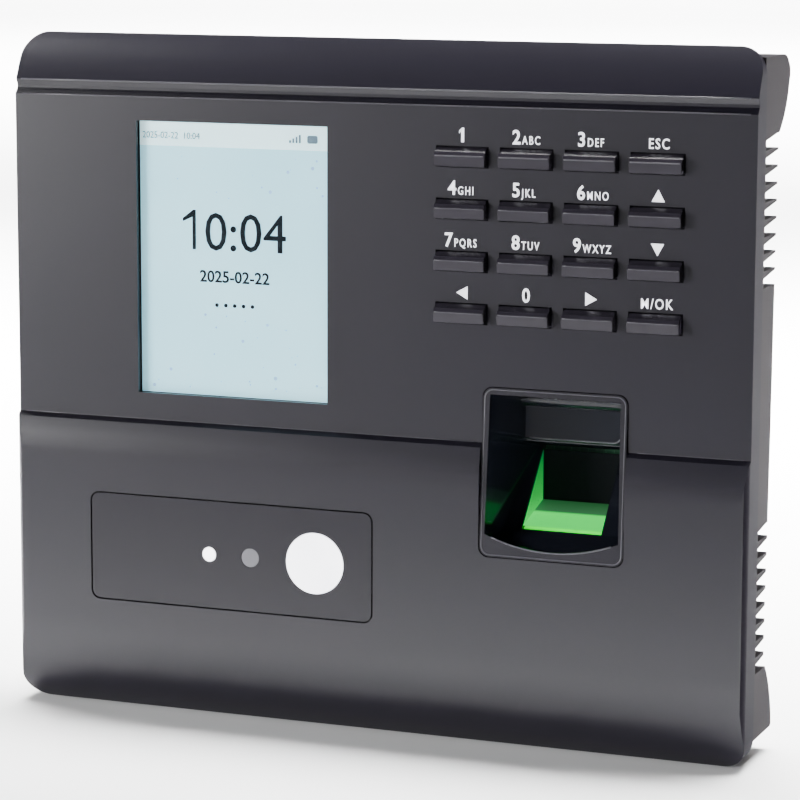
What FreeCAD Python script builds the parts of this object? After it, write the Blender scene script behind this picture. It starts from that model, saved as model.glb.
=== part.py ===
"""Wall-mounted fingerprint and face time-attendance terminal.

Row frame: +Z up, the front faces -Y, the wall plane is y = 0. The origin is the point of the
wall plate's back face that lies behind the middle of the housing. All lengths are millimetres.

Driving dimensions live in the spreadsheet "Dims". A Dim pairs a number with the spreadsheet
expression that gives it, so every size below stays bound to the sheet.
"""
import FreeCAD, Part
import math
import os
import Sketcher

DIMENSIONS = [
    # housing
    ("body_width", 167.5, "overall width"),
    ("body_height", 148.8, "overall height"),
    ("body_depth", 32.2, "wall to the proudest front surface"),
    ("panel_depth", 30.0, "wall to the upper front panel"),
    ("parting_depth", 23.8, "wall to the seam between the two shells"),
    ("shell_wall", 2.2, "front shell wall"),
    ("cover_wall", 2.0, "rear cover wall"),
    ("plan_radius", 5.5, "corner radius seen from the front"),
    ("side_round_x", 1.3, "side edge rounding, across"),
    ("side_round_y", 1.8, "side edge rounding, front to back"),
    ("groove_top", 64.3, "upper edge of the front groove"),
    ("groove_bottom", 61.1, "lower edge of the front groove"),
    ("groove_cut", 1.0, "depth of the front groove"),
    ("band_curve", 45.0, "slight crown of the sloping top band"),
    ("chin_radius", 14.0, "roll-over radius above the bottom edge"),
    ("step_z", -9.2, "height of the step between the panel and the lower bulge"),
    ("bulge_flat_top", -18.5, "where the bulge becomes flat"),
    ("bulge_flat_bottom", -56.0, "where the bulge starts to curve back"),
    ("chin_setback", 5.0, "how far the bottom edge curves back"),
    # screen
    ("screen_x", -32.1, "screen centre"),
    ("screen_z", 26.3, "screen centre"),
    ("screen_width", 44.8, "visible window"),
    ("screen_height", 59.3, "visible window"),
    ("screen_recess", 0.8, "window sheet below the panel"),
    ("glass_width", 49.6, "window sheet"),
    ("glass_height", 64.1, "window sheet"),
    ("glass_thick", 1.0, "window sheet"),
    ("gasket_thick", 0.8, "foam frame behind the window sheet"),
    ("lcd_width", 50.0, "display module"),
    ("lcd_height", 69.2, "display module"),
    ("lcd_cell", 1.2, "liquid crystal cell"),
    ("lcd_light", 2.4, "backlight tray"),
    ("bracket_width", 62.0, "sheet bracket behind the display"),
    ("bracket_height", 66.0, "sheet bracket behind the display"),
    ("bracket_thick", 1.0, "sheet bracket behind the display"),
    ("bracket_hole_x", 57.0, "bracket screw spacing"),
    ("bracket_hole_z", 58.0, "bracket screw spacing"),
    # keypad
    ("key_first_x", 20.7, "centre of the left column"),
    ("key_first_z", 50.6, "centre of the top row"),
    ("key_pitch_x", 14.1, "column pitch"),
    ("key_pitch_z", 10.9, "row pitch"),
    ("key_hole_x", 11.7, "hole for one key"),
    ("key_hole_z", 4.5, "hole for one key"),
    ("key_gap", 0.3, "gap round a key"),
    ("key_proud", 1.9, "key above the panel"),
    ("key_travel", 0.8, "key travel"),
    ("key_flange", 0.5, "retaining flange beyond the hole"),
    ("key_flange_thick", 0.8, "retaining flange"),
    ("key_round", 0.35, "key edge rounding"),
    ("mat_back", 23.2, "wall to the back of the rubber mat"),
    ("mat_thick", 1.0, "rubber mat"),
    ("dome_high", 1.4, "dome of the rubber mat"),
    ("dome_radius", 1.9, "dome of the rubber mat"),
    ("keypad_board_x", 60.0, "keypad circuit board"),
    ("keypad_board_z", 46.0, "keypad circuit board"),
    ("board_thick", 1.6, "circuit boards"),
    ("key_ledge", 0.95, "height of the key's front edge above its middle"),
    ("key_peg", 1.2, "peg that presses the dome"),
    # camera window
    ("window_x", -31.9, "camera window centre"),
    ("window_z", -37.8, "camera window centre"),
    ("window_width", 67.2, "recess for the camera window"),
    ("window_height", 24.3, "recess for the camera window"),
    ("window_thick", 1.4, "camera window"),
    ("window_gap", 0.35, "gap round the camera window"),
    ("window_radius", 2.2, "corner radius of the recess"),
    ("disc_x", -11.8, "fill light centre"),
    ("disc_radius", 6.65, "fill light"),
    ("eye_x", -36.8, "colour camera centre"),
    ("eye_radius", 1.6, "colour camera aperture"),
    ("ir_x", -27.0, "infrared camera centre"),
    ("ir_radius", 2.1, "infrared camera aperture"),
    ("camera_board_depth", 23.4, "wall to the back of the camera board"),
    ("camera_board_x", 74.0, "camera board"),
    ("camera_board_z", 17.0, "camera board"),
    ("camera_screw_x", 68.0, "camera board screw spacing"),
    ("camera_seat", 8.0, "base of a camera module"),
    ("camera_barrel", 3.2, "barrel of a camera module"),
    # finger sensor
    ("bay_x", 41.6, "finger bay centre"),
    ("bay_top", 2.6, "top of the bezel"),
    ("bay_bottom", -33.0, "bottom of the bezel"),
    ("bay_width", 31.6, "bezel"),
    ("bay_radius", 2.2, "bezel corner"),
    ("mouth_half", 14.5, "half width of the finger opening at the face"),
    ("throat_half", 9.3, "half width of the finger opening at its back"),
    ("scoop_radius", 37.7, "radius of the scooped lower lip"),
    ("scoop_low", -31.3, "lowest point of the scooped lip"),
    ("prism_width", 17.6, "finger prism"),
    ("flange_depth", 26.9, "wall to the front of the bezel flange"),
    ("bezel_back", 9.6, "wall to the back of the bezel body"),
    ("bezel_screw_x", 37.2, "bezel screw spacing"),
    ("bezel_screw_z", 28.0, "bezel screw spacing"),
    # main board and connectors
    ("main_board_back", 18.4, "wall to the back of the main board"),
    ("block_half", 72.0, "half width of the deep middle of the rear cover"),
    ("block_top", 64.0, "top of the deep middle"),
    ("block_bottom", -58.0, "bottom of the deep middle"),
    ("block_back", 2.0, "wall to the back of the rear cover"),
    ("recess_left", -68.0, "cable recess"),
    ("recess_right", 21.0, "cable recess"),
    ("recess_top", -28.0, "cable recess, where the sockets end"),
    # ventilation
    ("vent_count", 9, "slots in a group"),
    ("vent_pitch", 3.52, "slot pitch"),
    ("vent_front", 2.0, "slot height at the seam"),
    ("vent_back", 3.0, "slot height at the back"),
    ("vent_upper", 53.4, "lower edge of the top slot, upper group"),
    ("vent_lower", -27.3, "lower edge of the top slot, lower group"),
    ("vent_inner", 77.0, "where the slots end, from the middle"),
    # fasteners
    ("case_screw_x", 76.5, "case screws, from the middle"),
    ("case_screw_radius", 1.5, "case screw shank"),
    ("inner_screw_radius", 1.0, "small screw shank"),
    ("screw_gap", 0.05, "gap between a screw and its hole"),
    # small parts in the rear cover
    ("speaker_x", 46.0, "speaker centre"),
    ("speaker_z", -45.5, "speaker centre"),
    ("speaker_radius", 10.0, "seat of the speaker"),
    ("sound_ring", 5.5, "ring of sound holes"),
    ("sound_radius", 1.1, "sound hole"),
    ("tamper_x", 10.0, "tamper plunger"),
    ("tamper_z", 40.0, "tamper plunger"),
    ("reset_x", -46.8, "reset button"),
    ("reset_y", -13.0, "reset button"),
    ("security_x", -11.0, "security screw"),
    ("security_y", -7.0, "security screw"),
    # wall plate
    ("plate_half", 52.0, "half width of the wall plate"),
    ("plate_top", 52.0, "top of the wall plate"),
    ("plate_bottom", -24.0, "bottom of the wall plate"),
    ("plate_thick", 1.5, "wall plate"),
    ("plate_hole_x", 60.0, "wall screw spacing"),
    ("plate_hole_z", 54.0, "wall screw spacing"),
    ("plate_hole_radius", 2.25, "wall screw hole"),
    ("plate_hole_mid", 14.0, "height of the wall screw pattern's centre"),
    ("hook_x", 40.0, "hooks, from the middle"),
    ("hook_width", 8.0, "hook"),
    ("hook_upper", 28.0, "underside of the upper hooks"),
    ("hook_lower", -12.0, "underside of the lower hooks"),
    ("hang_travel", 8.0, "lift that frees the housing from its hooks"),
]

KEY_NAMES = [
    ["1", "2", "3", "esc"],
    ["4", "5", "6", "up"],
    ["7", "8", "9", "down"],
    ["left", "0", "right", "ok"],
]

doc = FreeCAD.newDocument("finger_terminal")
sheet = doc.addObject("Spreadsheet::Sheet", "Dims")
nodes = {}


class Dim:
    """A length: its number, and the spreadsheet expression that it comes from."""

    def __init__(self, value, text):
        self.value = value
        self.text = text

    def joined(self, other, sign, value):
        return Dim(value, "(%s %s %s)" % (self.text, sign, dim(other).text))

    def __add__(self, other):
        return self.joined(other, "+", self.value + dim(other).value)

    def __sub__(self, other):
        return self.joined(other, "-", self.value - dim(other).value)

    def __mul__(self, other):
        return self.joined(other, "*", self.value * dim(other).value)

    def __truediv__(self, other):
        return self.joined(other, "/", self.value / dim(other).value)

    def __radd__(self, other):
        return dim(other) + self

    def __rsub__(self, other):
        return dim(other) - self

    def __rmul__(self, other):
        return dim(other) * self

    def __neg__(self):
        return self * -1.0


def dim(number):
    """A plain number as a Dim."""
    return number if isinstance(number, Dim) else Dim(float(number), repr(float(number)))


class Sheet:
    """Reads a driving dimension by its alias."""

    def __getattr__(self, alias):
        return Dim(float(sheet.get(alias)), "Dims." + alias)


D = Sheet()


def fill_sheet():
    for row, (alias, value, meaning) in enumerate(DIMENSIONS, start=1):
        sheet.set("A%d" % row, alias)
        sheet.set("B%d" % row, repr(value))
        sheet.setAlias("B%d" % row, alias)
        sheet.set("C%d" % row, meaning)
    doc.recompute()


# ---------------------------------------------------------------- document helpers

def bind(thing, path, length):
    """Give a property its length, kept in step with the sheet."""
    length = dim(length)
    thing.setExpression(path, length.text)


def place(thing, x, y, z, rotation=None):
    thing.Placement = FreeCAD.Placement(
        FreeCAD.Vector(dim(x).value, dim(y).value, dim(z).value), rotation or FreeCAD.Rotation())
    bind(thing, "Placement.Base.x", x)
    bind(thing, "Placement.Base.y", y)
    bind(thing, "Placement.Base.z", z)


def keep(thing, label):
    """Name a finished sub-part."""
    thing.Label = label
    nodes[label] = thing
    return thing


def box(label, x, y, z):
    """A block between two corners: x, y and z are pairs, low and high."""
    thing = doc.addObject("Part::Box", label)
    for name, (low, high) in zip(("Length", "Width", "Height"), (x, y, z)):
        bind(thing, name, dim(high) - dim(low))
    place(thing, x[0], y[0], z[0])
    return thing


ALONG = {
    "X": FreeCAD.Rotation(FreeCAD.Vector(0, 1, 0), 90),
    "Y": FreeCAD.Rotation(FreeCAD.Vector(1, 0, 0), -90),
    "Z": FreeCAD.Rotation(),
}


def rod(label, centre, radius, span, axis="Y"):
    """A cylinder along an axis. centre is its place on the two other axes, in X, Y, Z order."""
    thing = doc.addObject("Part::Cylinder", label)
    bind(thing, "Radius", radius)
    bind(thing, "Height", dim(span[1]) - dim(span[0]))
    spot = list(centre)
    spot.insert("XYZ".index(axis), span[0])
    place(thing, spot[0], spot[1], spot[2], ALONG[axis])
    return thing


def fuse(label, parts):
    thing = doc.addObject("Part::MultiFuse", label)
    thing.Shapes = parts
    return thing


def group(label, parts):
    """Separate solids that share one node."""
    thing = doc.addObject("Part::Compound", label)
    thing.Links = parts
    return thing


def cut(label, base, tools):
    thing = doc.addObject("Part::Cut", label)
    thing.Base = base
    thing.Tool = tools[0] if len(tools) == 1 else group(label + "_tools", tools)
    return thing


def common(label, parts):
    thing = doc.addObject("Part::MultiCommon", label)
    thing.Shapes = parts
    return thing


PLANES = {"XY": "XY_Plane", "XZ": "XZ_Plane", "YZ": "YZ_Plane"}


def arc_between(start, end, radius):
    """Minor arc from start to end. A positive radius bulges to the left of that direction."""
    sx, sy = start
    ex, ey = end
    chord = math.hypot(ex - sx, ey - sy)
    size = abs(radius)
    sink = math.sqrt(size * size - chord * chord / 4)
    side = -sink if radius > 0 else sink
    cx = (sx + ex) / 2 - (ey - sy) / chord * side
    cy = (sy + ey) / 2 + (ex - sx) / chord * side
    angles = [math.atan2(y - cy, x - cx) for x, y in (start, end)]
    if radius > 0:
        angles.reverse()
    if angles[1] < angles[0]:
        angles[1] += 2 * math.pi
    circle = Part.Circle(FreeCAD.Vector(cx, cy, 0), FreeCAD.Vector(0, 0, 1), size)
    return Part.ArcOfCircle(circle, angles[0], angles[1])


def draw_loop(sketch, loop):
    """Draw one closed outline. A corner is (x, y), or (x, y, radius) where an arc arrives at it."""
    corners = [tuple(dim(v) for v in corner) for corner in loop]
    pieces = []
    for i, corner in enumerate(corners):
        before = corners[i - 1]
        start = (before[0].value, before[1].value)
        end = (corner[0].value, corner[1].value)
        if len(corner) == 3:
            curve = arc_between(start, end, corner[2].value)
            index = sketch.addGeometry(curve, False)
            shape = sketch.Geometry[index]
            first = 1 if shape.StartPoint.distanceToPoint(FreeCAD.Vector(start[0], start[1], 0)) < 1e-6 else 2
            radius = corner[2]
            size = radius if radius.value > 0 else -radius
            name = "radius_%d" % index
            sketch.addConstraint(Sketcher.Constraint("Radius", index, size.value))
            sketch.renameConstraint(sketch.ConstraintCount - 1, name)
            sketch.setExpression("Constraints." + name, size.text)
        else:
            points = [FreeCAD.Vector(p[0], p[1], 0) for p in (start, end)]
            index = sketch.addGeometry(Part.LineSegment(*points), False)
            first = 1
        pieces.append((index, first, 3 - first))
    for i, (index, first, last) in enumerate(pieces):
        following = pieces[(i + 1) % len(pieces)]
        sketch.addConstraint(Sketcher.Constraint("Coincident", index, last, following[0], following[1]))
        for kind, length in (("DistanceX", corners[i][0]), ("DistanceY", corners[i][1])):
            name = "%s_%d" % (kind, index)
            sketch.addConstraint(Sketcher.Constraint(kind, -1, 1, index, last, length.value))
            sketch.renameConstraint(sketch.ConstraintCount - 1, name)
            sketch.setExpression("Constraints." + name, length.text)


def sketch_on(body, plane, loops, start):
    """Sketch outlines on one of the body's own origin planes, moved to start along its axis."""
    sketch = body.newObject("Sketcher::SketchObject", body.Label + "_sketch")
    base = [f for f in body.Origin.OriginFeatures if f.Role == PLANES[plane]][0]
    sketch.AttachmentSupport = [(base, "")]
    sketch.MapMode = "FlatFace"
    offset = -dim(start) if plane == "XZ" else dim(start)
    bind(sketch, "AttachmentOffset.Base.z", offset)
    for loop in loops:
        draw_loop(sketch, loop)
    sketch.Visibility = False
    return sketch


def extruded(label, plane, loops, start, length):
    """A body padded from start to start + length along the plane's axis."""
    body = doc.addObject("PartDesign::Body", label)
    sketch = sketch_on(body, plane, loops, start)
    pad = body.newObject("PartDesign::Pad", label + "_pad")
    pad.Profile = sketch
    bind(pad, "Length", length)
    pad.Reversed = plane == "XZ"
    doc.recompute()
    return body


def pocketed(body, plane, loops, start, length):
    """Cut outlines from start to start + length along the plane's axis."""
    before = body.Shape.Volume
    sketch = sketch_on(body, plane, loops, start)
    pocket = body.newObject("PartDesign::Pocket", body.Label + "_pocket")
    pocket.Profile = sketch
    bind(pocket, "Length", length)
    pocket.Reversed = plane != "XZ"
    doc.recompute()
    if not body.Shape.Volume < before - 1e-3:
        raise ValueError("a pocket of %s cuts nothing" % body.Label)
    return body


def rectangle(x, y):
    return [(x[0], y[0]), (x[1], y[0]), (x[1], y[1]), (x[0], y[1])]


def rounded(x, y, radius):
    """Rectangle with round corners, drawn anticlockwise."""
    left, right = dim(x[0]), dim(x[1])
    low, high = dim(y[0]), dim(y[1])
    r = dim(radius)
    return [
        (right - r, low), (right, low + r, -r), (right, high - r), (right - r, high, -r),
        (left + r, high), (left, high - r, -r), (left, low + r), (left + r, low, -r),
    ]


def about(middle, size):
    """Low and high ends of a span given by its middle and size."""
    return dim(middle) - dim(size) / 2, dim(middle) + dim(size) / 2


# ---------------------------------------------------------------- front shell

def shell_profile(inset):
    """Side view of the front shell, Y across and Z up, drawn from the bottom rear corner."""
    back = -D.parting_depth
    front = -D.body_depth + inset
    panel = -D.panel_depth + inset
    foot = -D.body_height / 2 + inset
    head = D.body_height / 2 - inset
    chin = -D.body_depth + D.chin_setback + inset * 0.5
    band = -D.panel_depth + 0.4 + inset
    return [
        (back, foot),
        (chin, foot),
        (front + 0.6, foot + 9.0, D.chin_radius),
        (front, D.bulge_flat_bottom, 90.0),
        (front, D.bulge_flat_top),
        (panel - 1.1, D.step_z - 0.9, 30.0),
        (panel, D.step_z),
        (panel, D.groove_bottom),
        (panel + D.groove_cut, D.groove_bottom + 1.3),
        (panel + D.groove_cut, D.groove_top - 1.3),
        (band, D.groove_top),
        (back, head, D.band_curve),
    ]


def front_shell():
    half = D.body_width / 2
    wall = D.shell_wall
    body = extruded("front_shell_blank", "YZ", [shell_profile(dim(0.0))], -half, D.body_width)
    outline = rounded((-half, half), (-D.body_height / 2, D.body_height / 2), D.plan_radius)
    margin = rectangle((-half - 5, half + 5), (-D.body_height / 2 - 5, D.body_height / 2 + 5))
    pocketed(body, "XZ", [margin, outline], -D.body_depth - 2, 20.0)
    for side in (-1, 1):
        edge = [
            (half * side + 2 * side, -D.body_depth + D.side_round_y),
            (half * side + 2 * side, -D.body_depth - 1),
            ((half - D.side_round_x) * side, -D.body_depth - 1),
            ((half - D.side_round_x) * side, -D.body_depth),
            (half * side, -D.body_depth + D.side_round_y, -2.0 * side),
        ]
        pocketed(body, "XY", [edge], -D.body_height, D.body_height * 2)
    hollow = extruded("front_shell_hollow", "YZ", [shell_profile(wall)], -half + wall, D.body_width - wall * 2)
    opened = cut("front_shell_open", body, [hollow])

    # ledge that carries the camera window, and the screw bosses
    window_x = about(D.window_x, D.window_width + 5)
    window_z = about(D.window_z, D.window_height + 5)
    added = [opened, box("window_ledge", window_x, (-D.body_depth + 1.8, -28.4), window_z)]
    bosses = []
    for x, z, radius, front, back, depth in shell_bosses():
        bosses.append(rod("shell_boss", (x, z), radius, (front, back)))
    solid = fuse("front_shell_solid", added + bosses)

    tools = [
        box("screen_hole", about(D.screen_x, D.screen_width), (-34.0, -24.0),
            about(D.screen_z, D.screen_height)),
        box("screen_rebate", about(D.screen_x, D.glass_width + 0.4), (-D.panel_depth + D.screen_recess, -24.0),
            about(D.screen_z, D.glass_height + 0.4)),
        box("camera_hole", about(D.window_x, D.window_width - 6), (-34.0, -26.0),
            about(D.window_z, D.window_height - 6)),
        extruded("window_recess", "XZ", [rounded(about(D.window_x, D.window_width),
                                                 about(D.window_z, D.window_height), D.window_radius)],
                 -D.body_depth - 1, D.window_thick + 1.1),
        extruded("bay_hole", "XZ", [rounded(about(D.bay_x, D.bay_width + 0.4),
                                            (D.bay_bottom - 0.2, D.bay_top + 0.2), D.bay_radius)],
                 -D.body_depth - 1, 10.0),
    ]
    for x, z, name in key_places():
        tools.append(box("key_hole", about(x, D.key_hole_x), (-34.0, -26.0), about(z, D.key_hole_z)))
    for x, z, radius, front, back, depth in shell_bosses():
        shank = D.case_screw_radius if radius.value > 3 else D.inner_screw_radius
        tools.append(rod("shell_boss_hole", (x, z), shank + D.screw_gap, (back - depth, back + 1)))
    keep(cut("front_shell", solid, tools), "front_shell")


def shell_bosses():
    """Bosses inside the front shell: x, z, radius, front end, back end, depth of the screw hole."""
    rows = []
    for x, z in case_screw_places():
        rows.append((x, z, dim(3.2), dim(-28.3 if z.value > -9 else -30.5), dim(-20.1), 5.0))
    for x, z in bracket_screw_places():
        rows.append((x, z, dim(2.4), dim(-28.4), bracket_front(), 4.6))
    for x, z in keypad_screw_places():
        rows.append((x, z, dim(2.1), dim(-28.4), -D.mat_back, 4.6))
    for x, z in bezel_screw_places():
        rows.append((x, z, dim(1.9), dim(-28.4 if z.value > -9 else -30.5), -D.flange_depth - 0.05, 1.9))
    for x, z in camera_screw_places():
        rows.append((x, z, dim(2.4), dim(-30.4), -D.camera_board_depth - D.board_thick, 4.6))
    return rows


def case_screw_places():
    return [(D.case_screw_x * side, dim(z)) for z in (61.0, 0.0, -62.0) for side in (-1, 1)]


def bracket_screw_places():
    return [(D.screen_x + D.bracket_hole_x / 2 * sx, D.screen_z + D.bracket_hole_z / 2 * sz)
            for sx in (-1, 1) for sz in (-1, 1)]


def keypad_screw_places():
    return [(D.key_first_x + D.key_pitch_x * column, D.key_first_z - D.key_pitch_z * row)
            for column in (0.5, 2.5) for row in (0.5, 2.5)]


def bezel_screw_places():
    middle = (D.bay_top + D.bay_bottom) / 2
    return [(D.bay_x + D.bezel_screw_x / 2 * sx, middle + D.bezel_screw_z / 2 * sz)
            for sx in (-1, 1) for sz in (-1, 1)]


def camera_screw_places():
    return [(D.window_x + D.camera_screw_x / 2 * side, D.window_z) for side in (-1, 1)]


def board_screw_places():
    return [(dim(-64.0), dim(52.0)), (dim(64.0), dim(52.0)), (dim(64.0), dim(14.0)), (dim(-64.0), dim(2.0))]


# ---------------------------------------------------------------- display

def bracket_front():
    """Front face of the display bracket."""
    return (-D.panel_depth + D.screen_recess + D.glass_thick + D.gasket_thick + D.lcd_cell + D.lcd_light)


def display():
    front = -D.panel_depth + D.screen_recess
    wide, high = about(D.screen_x, D.glass_width), about(D.screen_z, D.glass_height)
    keep(box("lcd_window", wide, (front, front + D.glass_thick), high), "lcd_window")
    front = front + D.glass_thick
    frame = box("lcd_gasket_blank", wide, (front, front + D.gasket_thick), high)
    hole = box("lcd_gasket_hole", about(D.screen_x, D.screen_width), (front - 1, front + 2),
               about(D.screen_z, D.screen_height))
    keep(cut("lcd_gasket", frame, [hole]), "lcd_gasket")
    front = front + D.gasket_thick
    wide, high = about(D.screen_x, D.lcd_width), about(D.screen_z, D.lcd_height)
    keep(box("lcd_panel", wide, (front, front + D.lcd_cell), high), "lcd_panel")
    front = front + D.lcd_cell
    keep(box("lcd_backlight", wide, (front, front + D.lcd_light), high), "lcd_backlight")
    front = bracket_front()
    plate = extruded("lcd_bracket", "XZ",
                     [rounded(about(D.screen_x, D.bracket_width), about(D.screen_z, D.bracket_height), 3.0)],
                     front, D.bracket_thick)
    window = rounded(about(D.screen_x, 30.0), about(D.screen_z, 34.0), 4.0)
    pocketed(plate, "XZ", [window], front - 1, 3.0)
    holes = [rod("bracket_hole", (x, z), D.inner_screw_radius + D.screw_gap, (front - 1, front + 2))
             for x, z in bracket_screw_places()]
    keep(cut("lcd_bracket_drilled", plate, holes), "lcd_bracket")
    plate.Label = "lcd_bracket_blank"


# ---------------------------------------------------------------- keypad

def key_places():
    """x, z and name of every key."""
    return [(D.key_first_x + D.key_pitch_x * column, D.key_first_z - D.key_pitch_z * row, name)
            for row, names in enumerate(KEY_NAMES) for column, name in enumerate(names)]


def key(x, z, name):
    """One key: a wedge-topped cap, its retaining flange and the peg that presses the rubber dome."""
    half_x = D.key_hole_x / 2 - D.key_gap
    half_z = D.key_hole_z / 2 - D.key_gap
    back = -D.panel_depth + D.shell_wall + 0.05
    front = -D.panel_depth - D.key_proud
    r = D.key_round
    side = [
        (back, z - half_z),
        (back, z + half_z),
        (-D.panel_depth - 0.2, z + half_z),
        (front + r, z + D.key_ledge),
        (front, z + D.key_ledge - r, -r * 1.1),
        (front, z - half_z + r),
        (front + r, z - half_z, -r),
    ]
    wedge = extruded("key_wedge_" + name, "YZ", [side], x - half_x, half_x * 2)
    plan = extruded("key_plan_" + name, "XZ", [rounded((x - half_x, x + half_x), (z - half_z, z + half_z), r)],
                    -D.panel_depth - 3, 6.0)
    cap = common("key_cap_" + name, [wedge, plan])
    spread_x, spread_z = D.key_hole_x / 2 + D.key_flange, D.key_hole_z / 2 + D.key_flange
    flange_back = back + D.key_flange_thick
    flange = box("key_flange", (x - spread_x, x + spread_x), (back, flange_back), (z - spread_z, z + spread_z))
    peg = rod("key_peg", (x, z), D.key_peg, (flange_back, flange_back + 0.45))
    keep(fuse("key_" + name, [cap, flange, peg]), "key_" + name)


def keypad():
    for x, z, name in key_places():
        key(x, z, name)
    middle_x = D.key_first_x + D.key_pitch_x * 1.5
    middle_z = D.key_first_z - D.key_pitch_z * 1.5
    wide, high = about(middle_x, D.keypad_board_x), about(middle_z, D.keypad_board_z)
    back = -D.mat_back
    sheet_rubber = box("mat_sheet", wide, (back - D.mat_thick, back), high)
    domes = []
    for x, z, name in key_places():
        dome = doc.addObject("Part::Cone", "mat_dome")
        bind(dome, "Radius1", D.dome_radius)
        bind(dome, "Radius2", D.dome_radius * 0.7)
        bind(dome, "Height", D.dome_high)
        place(dome, x, back - D.mat_thick, z, FreeCAD.Rotation(FreeCAD.Vector(1, 0, 0), 90))
        domes.append(dome)
    rubber = fuse("mat_solid", [sheet_rubber] + domes)
    holes = [rod("mat_hole", (x, z), 2.4, (back - 3, back + 1)) for x, z in keypad_screw_places()]
    keep(cut("keypad_mat", rubber, holes), "keypad_mat")
    board = box("keypad_board_blank", wide, (back, back + D.board_thick), high)
    holes = [rod("keypad_board_hole", (x, z), D.inner_screw_radius + D.screw_gap, (back - 1, back + 3))
             for x, z in keypad_screw_places()]
    keep(cut("keypad_board", board, holes), "keypad_board")


# ---------------------------------------------------------------- cameras and fill light

def camera_group():
    front = -D.body_depth + 0.05
    back = front + D.window_thick
    gap = D.window_gap
    panel = extruded("camera_window_blank", "XZ",
                     [rounded(about(D.window_x, D.window_width - gap * 2),
                              about(D.window_z, D.window_height - gap * 2), D.window_radius - gap)],
                     front, D.window_thick)
    apertures = [(D.disc_x, D.disc_radius), (D.eye_x, D.eye_radius), (D.ir_x, D.ir_radius)]
    holes = [rod("camera_window_hole", (x, D.window_z), radius + 0.05, (front - 1, back + 1))
             for x, radius in apertures]
    keep(cut("camera_window", panel, holes), "camera_window")

    disc = rod("diffuser_disc", (D.disc_x, D.window_z), D.disc_radius, (front, back + 0.05))
    rim = rod("diffuser_rim", (D.disc_x, D.window_z), D.disc_radius + 1.2, (back + 0.05, back + 0.85))
    keep(fuse("fill_light_diffuser", [disc, rim]), "fill_light_diffuser")

    board_back = -D.camera_board_depth
    board_front = board_back - D.board_thick
    board = box("camera_board_blank", about(D.window_x, D.camera_board_x), (board_front, board_back),
                about(D.window_z, D.camera_board_z))
    holes = [rod("camera_board_hole", (x, z), D.inner_screw_radius + D.screw_gap,
                 (board_front - 1, board_back + 1)) for x, z in camera_screw_places()]
    keep(cut("camera_board", board, holes), "camera_board")

    for name, x, radius in (("colour_camera", D.eye_x, D.eye_radius), ("infrared_camera", D.ir_x, D.ir_radius)):
        seat = box(name + "_seat", about(x, D.camera_seat), (board_front - 2.4, board_front),
                   about(D.window_z, D.camera_seat))
        barrel = rod(name + "_barrel", (x, D.window_z), D.camera_barrel, (back + 0.4, board_front - 2.4))
        bore = rod(name + "_bore", (x, D.window_z), radius, (back - 1, back + 2.0))
        keep(cut(name, fuse(name + "_solid", [seat, barrel]), [bore]), name)
        keep(rod(name + "_lens", (x, D.window_z), radius - 0.05, (front + 0.1, back + 1.9)), name + "_lens")

    lamps = [box("fill_light_led", about(D.disc_x + dx, 2.8), (board_front - 0.8, board_front),
                 about(D.window_z + dz, 3.5)) for dx in (-3.0, 3.0) for dz in (-3.0, 3.0)]
    keep(group("fill_light_leds", lamps), "fill_light_leds")
    lamps = [box("infrared_led", about(D.window_x + dx, 3.0), (board_front - 1.2, board_front),
                 about(D.window_z + dz, 3.0)) for dx in (-27.0, -20.0) for dz in (-5.0, 5.0)]
    keep(group("infrared_leds", lamps), "infrared_leds")


# ---------------------------------------------------------------- finger sensor

GLASS_LOW = (-25.0, -27.8)
GLASS_HIGH = (-11.5, -12.5)


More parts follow.
